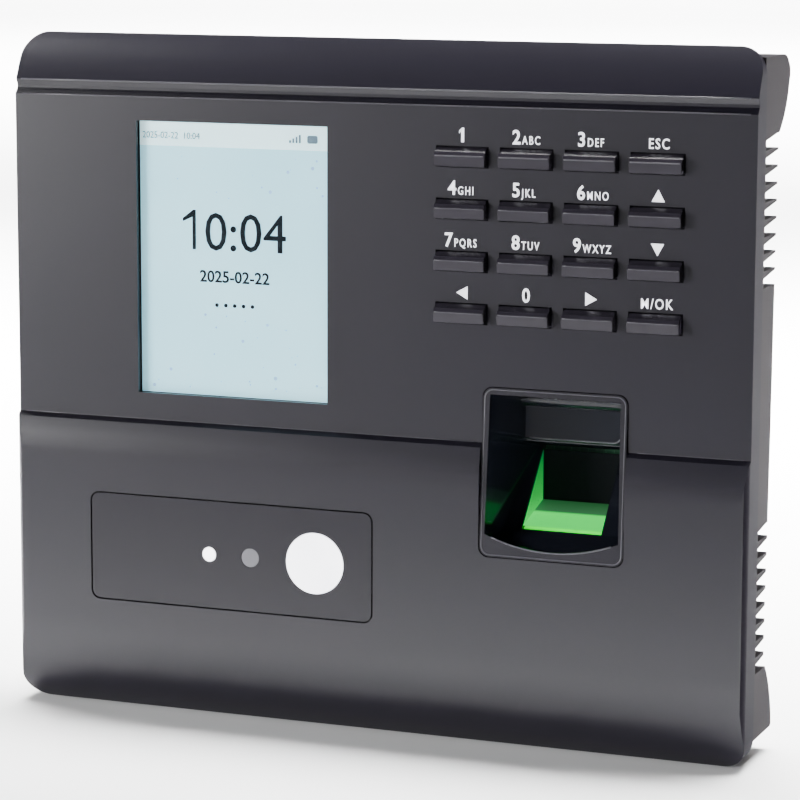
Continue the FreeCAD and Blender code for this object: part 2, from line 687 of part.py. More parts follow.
def sensor_bezel():
    """Gloss insert: a tilted face frame, a tapering finger bay, a finger stop and a glass seat."""
    left, right = about(D.bay_x, D.bay_width)
    face_top = -D.panel_depth - 0.05
    face_low = -D.body_depth
    collar = [
        (-D.flange_depth + 1.6, D.bay_bottom),
        (face_low, D.bay_bottom),
        (face_top, D.bay_top),
        (-D.flange_depth + 1.6, D.bay_top),
    ]
    block = extruded("bezel_block", "YZ", [collar], left, D.bay_width)
    plan = extruded("bezel_plan", "XZ", [rounded((left, right), (D.bay_bottom, D.bay_top), D.bay_radius)],
                    -D.body_depth - 1, 12.0)
    front = common("bezel_front", [block, plan])
    flange = box("bezel_flange", about(D.bay_x, D.bezel_screw_x + 5.0),
                 (-D.flange_depth, -D.flange_depth + 1.6), (D.bay_bottom - 2.5, D.bay_top + 2.5))
    rear = box("bezel_rear", about(D.bay_x, 30.2), (-D.flange_depth + 0.5, -D.bezel_back),
               (-31.6, D.bay_top - 0.5))
    solid = fuse("bezel_solid", [front, flange, rear])

    cavity = [
        (-35.0, -31.9),
        (-32.1, -31.7),
        (GLASS_LOW[0], GLASS_LOW[1] - 0.3),
        (GLASS_HIGH[0] + 0.3, GLASS_HIGH[1] + 0.1),
        (-12.4, -11.3),
        (-16.4, -10.6),
        (-17.2, -9.8, -0.9),
        (-17.2, -3.0),
        (-19.2, -1.0, 2.2),
        (-28.6, 1.1),
        (-35.0, 1.4),
    ]
    profile = extruded("bay_profile", "YZ", [cavity], D.bay_x - 20.0, 40.0)
    taper = doc.addObject("Part::Wedge", "bay_taper")
    slope = (D.mouth_half - D.throat_half) / 20.0
    wide, narrow = D.mouth_half + slope * 3.0, D.throat_half
    for name, value in (("Xmin", -wide), ("Xmax", wide), ("X2min", -narrow), ("X2max", narrow),
                        ("Ymin", -34.0), ("Ymax", -11.0), ("Zmin", -40.0), ("Zmax", 10.0),
                        ("Z2min", -40.0), ("Z2max", 10.0)):
        bind(taper, name, value)
    place(taper, D.bay_x, 0.0, 0.0)
    scoop = rod("bay_scoop", (D.bay_x, D.scoop_low + D.scoop_radius), D.scoop_radius, (-40.0, -5.0))
    bay = common("bay_space", [profile, taper, scoop])

    half = D.prism_width / 2
    seat = [
        (GLASS_LOW[0] - 1.5, GLASS_LOW[1] + 0.02),
        (GLASS_HIGH[0] - 1.5, GLASS_HIGH[1] + 1.2),
        (-10.9, -12.3),
        (-9.0, -12.3),
        (-9.0, -30.6),
        (-24.2, -30.6),
        (-24.2, -28.2),
    ]
    window = extruded("glass_window", "YZ", [seat], D.bay_x - half, D.prism_width)
    pocket_side = [
        (-23.6, -28.6),
        (-9.9, -13.1),
        (-9.0, -13.1),
        (-9.0, -30.6),
        (-23.6, -30.6),
    ]
    behind = extruded("glass_chamber", "YZ", [pocket_side], D.bay_x - half - 1.6, D.prism_width + 3.2)
    tools = [bay, window, behind]
    for x, z in bezel_screw_places():
        tools.append(rod("bezel_hole", (x, z), D.inner_screw_radius + D.screw_gap, (-30.0, -20.0)))
    keep(cut("sensor_bezel", solid, tools), "sensor_bezel")


def sensor_core():
    """Prism, its light and the camera that reads it."""
    half = D.prism_width / 2 - 0.05
    prism = [
        (GLASS_LOW[0] + 0.1, GLASS_LOW[1] + 0.1),
        (GLASS_HIGH[0] - 0.1, GLASS_HIGH[1]),
        (GLASS_HIGH[0] - 0.1, -24.2),
    ]
    keep(extruded("sensor_prism", "YZ", [prism], D.bay_x - half, half * 2), "sensor_prism")
    guide = [
        (-23.8, -28.05),
        (-11.6, -24.75),
        (-11.6, -25.75),
        (-23.4, -28.95),
    ]
    keep(extruded("sensor_light_guide", "YZ", [guide], D.bay_x - half, half * 2), "sensor_light_guide")
    carrier = [
        (-23.3, -30.5),
        (-10.0, -30.5),
        (-10.0, -15.2),
        (-11.4, -15.2),
        (-11.4, -29.5),
        (-23.3, -29.5),
    ]
    holder = extruded("sensor_carrier_blank", "YZ", [carrier], D.bay_x - half - 1.4, half * 2 + 2.8)
    eye = rod("carrier_hole", (D.bay_x, -18.5), 3.1, (-12.0, -9.0))
    keep(cut("sensor_carrier", holder, [eye]), "sensor_carrier")
    keep(rod("sensor_lens", (D.bay_x, -18.5), 3.0, (-11.35, -9.55)), "sensor_lens")
    keep(box("sensor_led_board", about(D.bay_x, 15.0), (-21.5, -12.0), (-29.45, -28.65)), "sensor_led_board")
    lamps = [box("sensor_led", about(D.bay_x + dx, 2.0), (-15.6, -13.6), (-28.65, -27.65))
             for dx in (-5.0, 0.0, 5.0)]
    keep(group("sensor_leds", lamps), "sensor_leds")
    board = (-D.bezel_back + 0.1, -D.bezel_back + 1.3)
    keep(box("sensor_camera_board", about(D.bay_x, 28.0), board, (-31.0, 0.0)), "sensor_camera_board")


# ---------------------------------------------------------------- rear cover

def cover_profile(inset):
    """Side view of the rear cover: bulged at the top, waisted, flared at the bottom."""
    seam = -D.parting_depth
    top = dim(72.2) - inset
    foot = dim(-69.6) + inset
    return [
        (seam, foot),
        (-9.4 - inset, foot),
        (-9.0 - inset, foot + 0.6),
        (-16.1 - inset, dim(-54.0), -22.0),
        (-14.3 - inset, -5.0),
        (-12.9 - inset, 56.0),
        (-4.9 - inset, dim(66.8) - inset, -18.0),
        (-5.6 - inset, dim(70.4) - inset, -2.6),
        (-9.2 - inset, top, -5.0),
        (seam, top),
    ]


def deep_outline():
    """Deep middle of the rear cover seen from behind, with a notch at the bottom for the sockets."""
    half, high, low = D.block_half, D.block_top, D.block_bottom
    left, right, ceiling = D.recess_left, D.recess_right, D.recess_top
    return [(-half, low), (left, low), (left, ceiling), (right, ceiling), (right, low),
            (half, low), (half, high), (-half, high)]


def deep_inside(wall):
    """The room inside the deep middle."""
    half, high, low = D.block_half - wall, D.block_top - wall, D.block_bottom + wall
    right, ceiling = D.recess_right + wall, D.recess_top + wall
    return [(-half, ceiling), (right, ceiling), (right, low), (half, low), (half, high), (-half, high)]


def vent_tools():
    """Slots on both sides, cut through the side wall and round the rear corner."""
    tools = []
    length = D.body_width / 2 + 1 - D.vent_inner
    front, back = -D.parting_depth + 1.3, dim(-8.0)
    for top in (D.vent_upper, D.vent_lower):
        loops = []
        for i in range(int(D.vent_count.value)):
            low = top - D.vent_pitch * i
            loops.append([(front, low), (back, low), (back, low + D.vent_back + 0.2),
                          (-14.0, low + D.vent_back), (front, low + D.vent_front)])
        for start in (D.vent_inner, -D.body_width / 2 - 1):
            tools.append(extruded("vent_slots", "YZ", loops, start, length))
    return tools


def rear_cover():
    wall = D.cover_wall
    half = D.body_width / 2 - 0.25
    body = extruded("rear_cover_blank", "YZ", [cover_profile(dim(0.0))], -half, half * 2)
    deep = extruded("rear_cover_deep", "XZ", [deep_outline()], dim(-17.0), dim(17.0) - D.block_back)
    solid = fuse("rear_cover_solid", [body, deep])
    hollow = extruded("rear_cover_hollow", "YZ", [cover_profile(wall)], -half + wall, half * 2 - wall * 2)
    inner = extruded("rear_cover_inner", "XZ", [deep_inside(wall)], -D.parting_depth - 1.0,
                     D.parting_depth + 1.0 - D.block_back - wall)
    opened = cut("rear_cover_open", solid, [hollow, inner])

    added = [opened]
    outer = rounded((-half + 2.15, half - 2.15), (-69.4, 69.2), 3.0)
    inside = rounded((-half + 3.3, half - 3.3), (-67.9, 67.8), 2.0)
    tongue_out = extruded("tongue_outer", "XZ", [outer], -D.parting_depth - 1.4, 3.4)
    tongue_in = extruded("tongue_inner", "XZ", [inside], -D.parting_depth - 2.4, 6.4)
    added.append(cut("cover_tongue", tongue_out, [tongue_in]))
    posts = [rod("cover_post", (x, z), 3.9, (-20.0, -3.0)) for x, z in case_screw_places()]
    added.append(common("cover_posts", [fuse("cover_post_set", posts), body]))
    ring = rod("speaker_ring_outer", (D.speaker_x, D.speaker_z), D.speaker_radius + 1.4, (-8.0, -3.0))
    seat = rod("speaker_ring_inner", (D.speaker_x, D.speaker_z), D.speaker_radius, (-9.0, -1.0))
    added.append(cut("speaker_ring", ring, [seat]))
    for x, z in board_screw_places():
        added.append(rod("board_post", (x, z), 3.0, (-D.main_board_back, -3.0)))
    joined = fuse("rear_cover_joined", added)

    tools = vent_tools()
    for x, z in case_screw_places():
        tools.append(rod("cover_sink", (x, z), 3.0, (-17.5, 0.0)))
        tools.append(rod("cover_hole", (x, z), D.case_screw_radius + 0.1, (-21.0, -10.0)))
    for x, z in board_screw_places():
        tools.append(rod("board_post_hole", (x, z), D.inner_screw_radius + D.screw_gap, (-19.0, -12.0)))
    for side in (-1, 1):
        for low in (D.hook_upper, D.hook_lower):
            tools.append(box("hook_slot", about(D.hook_x * side, D.hook_width + 1.0), (-6.0, 0.0),
                             (low - D.hang_travel - 0.3, low + 1.6)))
    top = D.recess_top
    ceiling = (top - 1, top + wall + 1)
    for x, y in socket_places().values():
        tools.append(box("socket_hole", (x[0] - 0.15, x[1] + 0.15), (y[0] - 0.15, y[1] + 0.15), ceiling))
    tools.append(rod("reset_hole", (D.reset_x, D.reset_y), 1.6, ceiling, "Z"))
    tools.append(rod("security_hole", (D.security_x, D.security_y), 1.8, ceiling, "Z"))
    tools.append(rod("tamper_hole", (D.tamper_x, D.tamper_z), 1.8, (-6.0, 0.0)))
    for turn in range(6):
        angle = math.radians(60 * turn)
        spot = (D.speaker_x + D.sound_ring * math.cos(angle), D.speaker_z + D.sound_ring * math.sin(angle))
        tools.append(rod("sound_hole", spot, D.sound_radius, (-6.0, 0.0)))
    tools.append(rod("sound_hole", (D.speaker_x, D.speaker_z), D.sound_radius, (-6.0, 0.0)))
    keep(cut("rear_cover", joined, tools), "rear_cover")


# ---------------------------------------------------------------- main board and sockets

def socket_places():
    """Spans across X and Y of the sockets that come through the recess ceiling."""
    near = -D.main_board_back
    return {
        "rj45_socket": ((-66.0, -50.0), (near + 0.15, near + 13.45)),
        "terminal_block": ((-43.0, -18.5), (near + 0.15, near + 9.15)),
        "usb_socket": ((-4.0, 9.2), (near + 0.15, near + 6.15)),
        "dc_jack": ((10.6, 19.6), (near + 0.15, near + 11.15)),
    }


def main_board():
    back = -D.main_board_back
    front = back - D.board_thick
    outline = [(-69.0, -25.0), (22.0, -25.0), (22.0, 8.0), (69.0, 8.0), (69.0, 58.0), (-69.0, 58.0)]
    board = extruded("main_board_blank", "XZ", [outline], front, D.board_thick)
    holes = [rod("main_board_hole", (x, z), D.inner_screw_radius + D.screw_gap, (front - 1, back + 1))
             for x, z in board_screw_places()]
    keep(cut("main_board", board, holes), "main_board")
    chips = []
    for x, z, wide, high, tall in ((-38.0, 32.0, 17.0, 17.0, 1.4), (-14.0, 36.0, 14.0, 9.0, 1.0),
                                   (-14.0, 22.0, 14.0, 9.0, 1.0), (28.0, 44.0, 8.0, 8.0, 1.6),
                                   (44.0, 24.0, 10.0, 6.0, 1.6), (-52.0, 2.0, 9.0, 7.0, 1.6)):
        chips.append(box("chip", about(x, wide), (back, back + tall), about(z, high)))
    keep(group("main_chips", chips), "main_chips")
    keep(box("lock_relay", (-34.0, -19.0), (back, back + 12.0), (-6.0, 6.0)), "lock_relay")
    keep(rod("coin_cell", (8.0, 20.0), 10.0, (back, back + 3.2)), "coin_cell")


def sockets():
    spans = socket_places()
    low = D.recess_top
    x, y = spans["rj45_socket"]
    body = box("rj45_blank", x, y, (low, low + 21.0))
    mouth = box("rj45_mouth", (-64.0, -52.0), (y[0] + 3.0, y[0] + 10.4), (low - 1, low + 12.0))
    latch = box("rj45_latch", (-61.0, -55.0), (y[0] + 1.3, y[0] + 4.0), (low - 1, low + 12.0))
    keep(cut("rj45_socket", body, [mouth, latch]), "rj45_socket")
    x, y = spans["usb_socket"]
    body = box("usb_blank", x, y, (low, low + 14.0))
    mouth = box("usb_mouth", (-3.5, 8.7), (y[0] + 0.5, y[1] - 0.5), (low - 1, low + 11.0))
    tongue = box("usb_tongue", (-2.6, 7.8), (y[0] + 0.9, y[0] + 1.4), (low + 0.6, low + 12.0))
    keep(fuse("usb_socket", [cut("usb_shell", body, [mouth]), tongue]), "usb_socket")
    x, y = spans["dc_jack"]
    body = box("dc_blank", x, y, (low, low + 14.0))
    bore = rod("dc_bore", (15.1, (y[0] + y[1]) / 2), 3.1, (low - 1, low + 10.0), "Z")
    pin = rod("dc_pin", (15.1, (y[0] + y[1]) / 2), 1.0, (low + 0.8, low + 11.0), "Z")
    keep(fuse("dc_jack", [cut("dc_shell", body, [bore]), pin]), "dc_jack")
    x, y = spans["terminal_block"]
    body = box("terminal_blank", x, y, (low, low + 9.0))
    entries = []
    for pole in range(7):
        place_x = -43.0 + 1.75 + 3.5 * pole
        entries.append(rod("terminal_entry", (place_x, y[0] + 3.2), 1.15, (low - 1, low + 6.0), "Z"))
        entries.append(rod("terminal_screw", (place_x, low + 5.0), 1.3, (y[1] - 1.2, y[1] + 1)))
    keep(cut("terminal_block", body, entries), "terminal_block")


def ribbon_cables():
    """Flat cables from the display, keypad, camera and finger sensor to the main board."""
    front = -D.main_board_back - D.board_thick
    strips = [
        box("display_ribbon", (-40.0, -24.0), (-22.6, -22.3), (-17.0, -8.8)),
        box("keypad_ribbon", (2.0, 9.5), (-21.5, -21.2), (24.0, 44.0)),
        box("camera_ribbon", (-40.0, -30.0), (-21.9, -21.6), (-34.0, -19.0)),
        box("sensor_ribbon", (24.2, 26.6), (-8.0, -7.7), (-22.0, -8.0)),
    ]
    plugs = [
        box("display_plug", (-41.0, -23.0), (front - 2.0, front), (-16.5, -12.0)),
        box("keypad_plug", (1.5, 10.0), (front - 0.9, front), (32.0, 36.0)),
        box("camera_plug", (-41.0, -29.0), (front - 1.3, front), (-23.0, -19.5)),
    ]
    keep(group("ribbon_cables", [strips[0], strips[2], strips[3], plugs[0], plugs[2],
                                 fuse("keypad_lead", [strips[1], plugs[1]])]), "ribbon_cables")


def speaker():
    cone = rod("speaker_rim", (D.speaker_x, D.speaker_z), D.speaker_radius - 0.1, (-6.6, -4.1))
    magnet = rod("speaker_magnet", (D.speaker_x, D.speaker_z), 6.0, (-9.4, -6.6))
    keep(fuse("speaker", [cone, magnet]), "speaker")


# ---------------------------------------------------------------- switches that travel

def tamper_switch():
    """Plunger that the wall plate holds in, and the switch it works."""
    back = -D.main_board_back
    body = box("tamper_body_blank", about(D.tamper_x, 8.0), (back, back + 8.0), about(D.tamper_z, 8.0))
    bore = rod("tamper_bore", (D.tamper_x, D.tamper_z), 1.6, (back + 3.0, back + 9.0))
    keep(cut("tamper_switch", body, [bore]), "tamper_switch")
    tip = -D.plate_thick - 0.1
    keep(rod("tamper_plunger", (D.tamper_x, D.tamper_z), 1.5, (back + 4.0, tip)), "tamper_plunger")


def reset_switch():
    """Recessed push button in the cable recess."""
    top = D.recess_top
    back = -D.main_board_back
    body = box("reset_body_blank", about(D.reset_x, 5.0), (back, back + 8.0), (top + 3.0, top + 8.0))
    bore = rod("reset_bore", (D.reset_x, D.reset_y), 1.3, (top + 2.0, top + 6.0), "Z")
    keep(cut("reset_switch", body, [bore]), "reset_switch")
    keep(rod("reset_button", (D.reset_x, D.reset_y), 1.2, (top + 0.4, top + 5.2), "Z"), "reset_button")


# ---------------------------------------------------------------- fasteners

def screw(label, x, z, head_y, tip_y, shank, head, head_high):
    """Pan-head screw along Y, its head towards the wall and a cross-slot cut in it."""
    cap = rod(label + "_head", (x, z), head, (head_y, head_y + head_high))
    pin = rod(label + "_shank", (x, z), shank, (tip_y, head_y))
    solid = fuse(label + "_solid", [cap, pin])
    top = head_y + head_high
    deep = dim(head_high) * 0.5
    slots = [box(label + "_slot", about(x, wide), (top - deep, top + 1), about(z, high))
             for wide, high in ((head * 1.3, head * 0.28), (head * 0.28, head * 1.3))]
    return cut(label, solid, slots)


def screws():
    rows = [screw("case_screw", x, z, dim(-17.5), dim(-24.6), D.case_screw_radius, dim(2.8), dim(2.0))
            for x, z in case_screw_places()]
    keep(group("case_screws", rows), "case_screws")
    shank, head, high = D.inner_screw_radius, dim(1.9), dim(1.1)
    rows = []
    seats = [
        (bracket_screw_places(), bracket_front() + D.bracket_thick, 4.0),
        (keypad_screw_places(), -D.mat_back + D.board_thick, 4.0),
        (camera_screw_places(), -D.camera_board_depth, 4.0),
        (bezel_screw_places(), -D.flange_depth + 1.6, 3.4),
    ]
    for places, seat, long in seats:
        for x, z in places:
            rows.append(screw("inner_screw", x, z, seat, seat - long, shank, head, high))
    front = -D.main_board_back - D.board_thick
    for x, z in board_screw_places():
        cap = rod("board_screw_head", (x, z), head, (front - high, front))
        pin = rod("board_screw_shank", (x, z), shank, (front, front + 5.0))
        rows.append(fuse("board_screw", [cap, pin]))
    keep(group("inner_screws", rows), "inner_screws")


# ---------------------------------------------------------------- wall plate

def wall_plate():
    """Pressed steel plate: wall screw holes, four upward hooks, and a flange for the security screw."""
    thick = D.plate_thick
    outline = rounded((-D.plate_half, D.plate_half), (D.plate_bottom, D.plate_top), 5.0)
    plate = extruded("wall_plate_blank", "XZ", [outline], -thick, thick)
    pieces = [plate]
    tongue_back = -(D.block_back + D.cover_wall) - 0.4
    for side in (-1, 1):
        for low in (D.hook_upper, D.hook_lower):
            wide = about(D.hook_x * side, D.hook_width)
            tall = (low, low + D.hang_travel + 0.9)
            pieces.append(box("hook_neck", wide, (tongue_back - 1.2, -thick), (low, low + 1.5)))
            pieces.append(box("hook_tongue", wide, (tongue_back - 1.2, tongue_back), tall))
    flange = about(D.security_x, 9.0)
    below = D.recess_top - 0.4
    pieces.append(box("flange_leg", flange, (-thick, 0.0), (below - 1.2, D.plate_bottom + 1)))
    pieces.append(box("flange_shelf", flange, (-11.5, 0.0), (below - 1.2, below)))
    solid = fuse("wall_plate_solid", pieces)
    tools = [rod("security_clear", (D.security_x, D.security_y), 1.6, (below - 3, below + 1), "Z")]
    for sx in (-1, 1):
        for sz in (-1, 1):
            tools.append(rod("wall_hole", (D.plate_hole_x / 2 * sx, D.plate_hole_mid + D.plate_hole_z / 2 * sz),
                             D.plate_hole_radius, (-3.0, 1.0)))
    keep(cut("wall_plate", solid, tools), "wall_plate")
    shank = rod("security_shank", (D.security_x, D.security_y), 1.5, (below - 1.2, D.recess_top + 1.4), "Z")
    head = rod("security_head", (D.security_x, D.security_y), 2.8, (below - 3.4, below - 1.2), "Z")
    drive = rod("security_drive", (D.security_x, D.security_y), 1.1, (below - 4.0, below - 2.2), "Z")
    keep(cut("security_screw", fuse("security_solid", [shank, head]), [drive]), "security_screw")


# ---------------------------------------------------------------- build, check and write

def build():
    fill_sheet()
    wall_plate()
    front_shell()
    display()
    keypad()
    camera_group()
    sensor_bezel()
    sensor_core()
    rear_cover()
    main_board()
    sockets()
    ribbon_cables()
    speaker()
    tamper_switch()
    reset_switch()
    screws()
    doc.recompute()


def check():
    for thing in doc.Objects:
        if "Invalid" in thing.State or "Error" in thing.State:
            raise ValueError("%s failed" % thing.Label)
    for label, thing in nodes.items():
        shape = thing.Shape
        if shape.isNull() or not shape.isValid() or not shape.Solids:
            raise ValueError("%s has no valid solid" % label)


def write():
    os.makedirs("parts", exist_ok=True)
    for label, thing in sorted(nodes.items()):
        thing.Shape.exportStep("parts/%s.step" % label)
        print("%-24s %2d solids %10.2f mm3" % (label, len(thing.Shape.Solids), thing.Shape.Volume))
    print(len(nodes), "nodes")


build()
check()
write()
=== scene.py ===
import math
import random
import bpy
from mathutils import Matrix, Vector

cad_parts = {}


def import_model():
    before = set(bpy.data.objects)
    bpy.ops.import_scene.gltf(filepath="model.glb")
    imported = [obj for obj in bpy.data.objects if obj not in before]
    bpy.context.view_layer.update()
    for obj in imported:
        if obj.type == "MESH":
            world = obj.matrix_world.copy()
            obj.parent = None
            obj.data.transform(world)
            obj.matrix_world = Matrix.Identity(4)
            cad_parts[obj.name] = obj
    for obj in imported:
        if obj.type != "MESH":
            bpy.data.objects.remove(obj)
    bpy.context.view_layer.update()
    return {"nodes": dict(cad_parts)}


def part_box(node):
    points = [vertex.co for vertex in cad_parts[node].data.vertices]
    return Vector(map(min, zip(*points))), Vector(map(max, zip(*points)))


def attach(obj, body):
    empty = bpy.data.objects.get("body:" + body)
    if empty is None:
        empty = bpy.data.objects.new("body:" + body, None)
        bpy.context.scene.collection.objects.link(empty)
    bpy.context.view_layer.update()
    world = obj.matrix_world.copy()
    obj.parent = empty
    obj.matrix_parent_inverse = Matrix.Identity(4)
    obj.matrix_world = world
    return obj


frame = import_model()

MM = 0.001
NODES = frame["nodes"]

# Places on the object, in the row's frame
PANEL_Y = -30.0 * MM            # front of the keypad panel
BEZEL_EDGE_Y = -29.6 * MM       # faces in front of this are on the bezel's outer face
SIDE_WALL_X = 78.0 * MM         # faces beyond this on either side are on the shell's side walls
BAY_X = 41.6 * MM               # middle of the finger bay
STEP_Z = -9.2 * MM              # line where the upper panel steps to the lower bulge


# ---------------------------------------------------------------- materials

def new_material(name):
    mat = bpy.data.materials.new(name)
    mat.use_nodes = True
    tree = mat.node_tree
    shader = tree.nodes["Principled BSDF"]
    return mat, tree, shader


def add_coords(tree, scale=(1.0, 1.0, 1.0)):
    coords = tree.nodes.new("ShaderNodeTexCoord")
    mapping = tree.nodes.new("ShaderNodeMapping")
    mapping.inputs["Scale"].default_value = scale
    tree.links.new(coords.outputs["Object"], mapping.inputs["Vector"])
    return mapping.outputs["Vector"]


def add_noise(tree, vector, scale, detail=4.0, rough=0.55):
    noise = tree.nodes.new("ShaderNodeTexNoise")
    noise.inputs["Scale"].default_value = scale
    noise.inputs["Detail"].default_value = detail
    noise.inputs["Roughness"].default_value = rough
    tree.links.new(vector, noise.inputs["Vector"])
    return noise.outputs["Fac"]


def add_ramp(tree, value, stops):
    ramp = tree.nodes.new("ShaderNodeValToRGB")
    band = ramp.color_ramp
    band.elements[0].position, band.elements[0].color = stops[0][0], (*stops[0][1], 1)
    band.elements[1].position, band.elements[1].color = stops[-1][0], (*stops[-1][1], 1)
    for place, colour in stops[1:-1]:
        band.elements.new(place).color = (*colour, 1)
    tree.links.new(value, ramp.inputs["Fac"])
    return ramp.outputs["Color"]


def grey(value):
    return (value, value, value)


def scaled(colour, factor):
    return tuple(min(1.0, c * factor) for c in colour)


def add_bump(tree, shader, height, strength, distance):
    bump = tree.nodes.new("ShaderNodeBump")
    bump.inputs["Strength"].default_value = strength
    bump.inputs["Distance"].default_value = distance
    tree.links.new(height, bump.inputs["Height"])
    tree.links.new(bump.outputs["Normal"], shader.inputs["Normal"])


def plastic(name, colour, rough, grain=2500.0, relief=0.12, spread=0.12, specular=0.5):
    """Moulded plastic: a fine spark-eroded grain, slightly uneven colour, and gloss that is almost even."""
    mat, tree, shader = new_material(name)
    vector = add_coords(tree)
    broad = add_noise(tree, vector, 38.0, 3.0)
    fine = add_noise(tree, vector, grain, 2.0, 0.7)
    tint = add_ramp(tree, broad, [(0.3, scaled(colour, 1 - spread)), (0.7, scaled(colour, 1 + spread))])
    tree.links.new(tint, shader.inputs["Base Color"])
    gloss = add_ramp(tree, broad, [(0.3, grey(rough * 0.99)), (0.7, grey(min(1.0, rough * 1.01)))])
    tree.links.new(gloss, shader.inputs["Roughness"])
    shader.inputs["Specular IOR Level"].default_value = specular
    add_bump(tree, shader, fine, relief, 0.06 * MM)
    return mat


def metal(name, colour, rough, stretch=(1.0, 1.0, 30.0)):
    """Brushed or plated metal: streaks along one direction and faint stains."""
    mat, tree, shader = new_material(name)
    vector = add_coords(tree, stretch)
    streak = add_noise(tree, vector, 900.0, 4.0, 0.6)
    stain = add_noise(tree, add_coords(tree), 60.0, 4.0)
    tint = add_ramp(tree, stain, [(0.3, scaled(colour, 0.86)), (0.72, scaled(colour, 1.08))])
    tree.links.new(tint, shader.inputs["Base Color"])
    gloss = add_ramp(tree, streak, [(0.25, grey(rough * 0.7)), (0.75, grey(min(1.0, rough * 1.35)))])
    tree.links.new(gloss, shader.inputs["Roughness"])
    shader.inputs["Metallic"].default_value = 1.0
    add_bump(tree, shader, streak, 0.12, 0.04 * MM)
    return mat


def circuit(name):
    """Solder mask with copper tracks showing faintly through it."""
    mat, tree, shader = new_material(name)
    vector = add_coords(tree)
    brick = tree.nodes.new("ShaderNodeTexBrick")
    brick.inputs["Scale"].default_value = 260.0
    brick.inputs["Mortar Size"].default_value = 0.018
    brick.inputs["Color1"].default_value = (0.012, 0.1, 0.04, 1)
    brick.inputs["Color2"].default_value = (0.014, 0.13, 0.05, 1)
    brick.inputs["Mortar"].default_value = (0.05, 0.26, 0.1, 1)
    turn = tree.nodes.new("ShaderNodeMapping")
    turn.inputs["Rotation"].default_value = (math.pi / 2, 0, 0)
    tree.links.new(vector, turn.inputs["Vector"])
    tree.links.new(turn.outputs["Vector"], brick.inputs["Vector"])
    tree.links.new(brick.outputs["Color"], shader.inputs["Base Color"])
    shader.inputs["Roughness"].default_value = 0.35
    shader.inputs["Coat Weight"].default_value = 0.4
    add_bump(tree, shader, brick.outputs["Fac"], 0.3, 0.03 * MM)
    return mat


def glow(name, colour, strength, stops=None, scale=60.0):
    """A lit surface, its light a little uneven."""
    mat, tree, shader = new_material(name)
    vector = add_coords(tree)
    noise = add_noise(tree, vector, scale, 2.0)
    tint = add_ramp(tree, noise, stops or [(0.25, scaled(colour, 0.9)), (0.75, scaled(colour, 1.06))])
    tree.links.new(tint, shader.inputs["Emission Color"])
    tree.links.new(tint, shader.inputs["Base Color"])
    shader.inputs["Emission Strength"].default_value = strength
    shader.inputs["Roughness"].default_value = 0.5
    return mat


def clear(name, colour, alpha, rough):
    """Clear sheet or moulding: mostly see-through, with a glossy face and faint smears."""
    mat, tree, shader = new_material(name)
    vector = add_coords(tree)
    smear = add_noise(tree, vector, 90.0, 5.0)
    gloss = add_ramp(tree, smear, [(0.35, grey(rough)), (0.8, grey(rough * 2.6))])
    tree.links.new(gloss, shader.inputs["Roughness"])
    shader.inputs["Base Color"].default_value = (*colour, 1)
    shader.inputs["Alpha"].default_value = alpha
    shader.inputs["IOR"].default_value = 1.5
    mat.blend_method = "BLEND"
    return mat


SHELL = plastic("shell_plastic", (0.008, 0.0071, 0.0115), 0.27, relief=0.1, spread=0.03, specular=0.38)
COVER = plastic("cover_plastic", (0.016, 0.0135, 0.016), 0.6, relief=0.2, spread=0.06, specular=0.015)
KEYCAP = plastic("key_plastic", (0.017, 0.015, 0.021), 0.22, relief=0.05, spread=0.05, specular=0.45)
# Copy of the shell's material for its side walls, with the reflection almost turned off so the walls render
# dark: painted shade.
SHADED_SHELL_SIDE = plastic("shell_side_painted_shade", (0.0125, 0.0112, 0.0155), 0.62, relief=0.2, spread=0.03,
                     specular=0.015)
WINDOW = plastic("camera_window_plastic", (0.009, 0.008, 0.012), 0.24, relief=0.04, spread=0.03,
                 specular=0.32)
# Gloss black for the finger bay, darker than the shell: partly the plastic's own colour, partly painted shade
# inside the bay.
SHADED_CRADLE = plastic("cradle_plastic_painted_shade", (0.006, 0.007, 0.011), 0.13, relief=0.02, spread=0.06, specular=0.28)
# Near-black sheet behind the prism: painted shade of the unlit chamber.
SHADE_SHEET = plastic("chamber_painted_shade", (0.003, 0.004, 0.006), 0.7, specular=0.1)
BLACK = plastic("black_moulding", (0.02, 0.02, 0.022), 0.45)
WHITE = plastic("white_moulding", (0.7, 0.7, 0.68), 0.5)
GREEN = plastic("terminal_plastic", (0.03, 0.3, 0.1), 0.4)
BLUE = plastic("relay_plastic", (0.02, 0.08, 0.35), 0.4)
FILM = plastic("polyimide_film", (0.4, 0.17, 0.03), 0.3)
RUBBER = plastic("silicone_rubber", (0.18, 0.18, 0.2), 0.75, grain=900.0)
FOAM = plastic("closed_cell_foam", (0.02, 0.02, 0.02), 0.95, grain=1400.0, relief=0.8)
STEEL = metal("zinc_plated_sheet", (0.3, 0.3, 0.315), 0.42)
SCREW = metal("black_zinc", (0.22, 0.22, 0.23), 0.35, (1.0, 1.0, 1.0))
TIN = metal("tinned_plate", (0.72, 0.72, 0.72), 0.25, (1.0, 1.0, 12.0))
GOLD = metal("gold_contact", (0.85, 0.62, 0.25), 0.25, (1.0, 1.0, 1.0))
BOARD = circuit("solder_mask")
CHIP = plastic("chip_resin", (0.018, 0.018, 0.018), 0.6)
DIFFUSER = glow("milky_diffuser", (0.92, 0.92, 1.0), 4.0, scale=150.0)
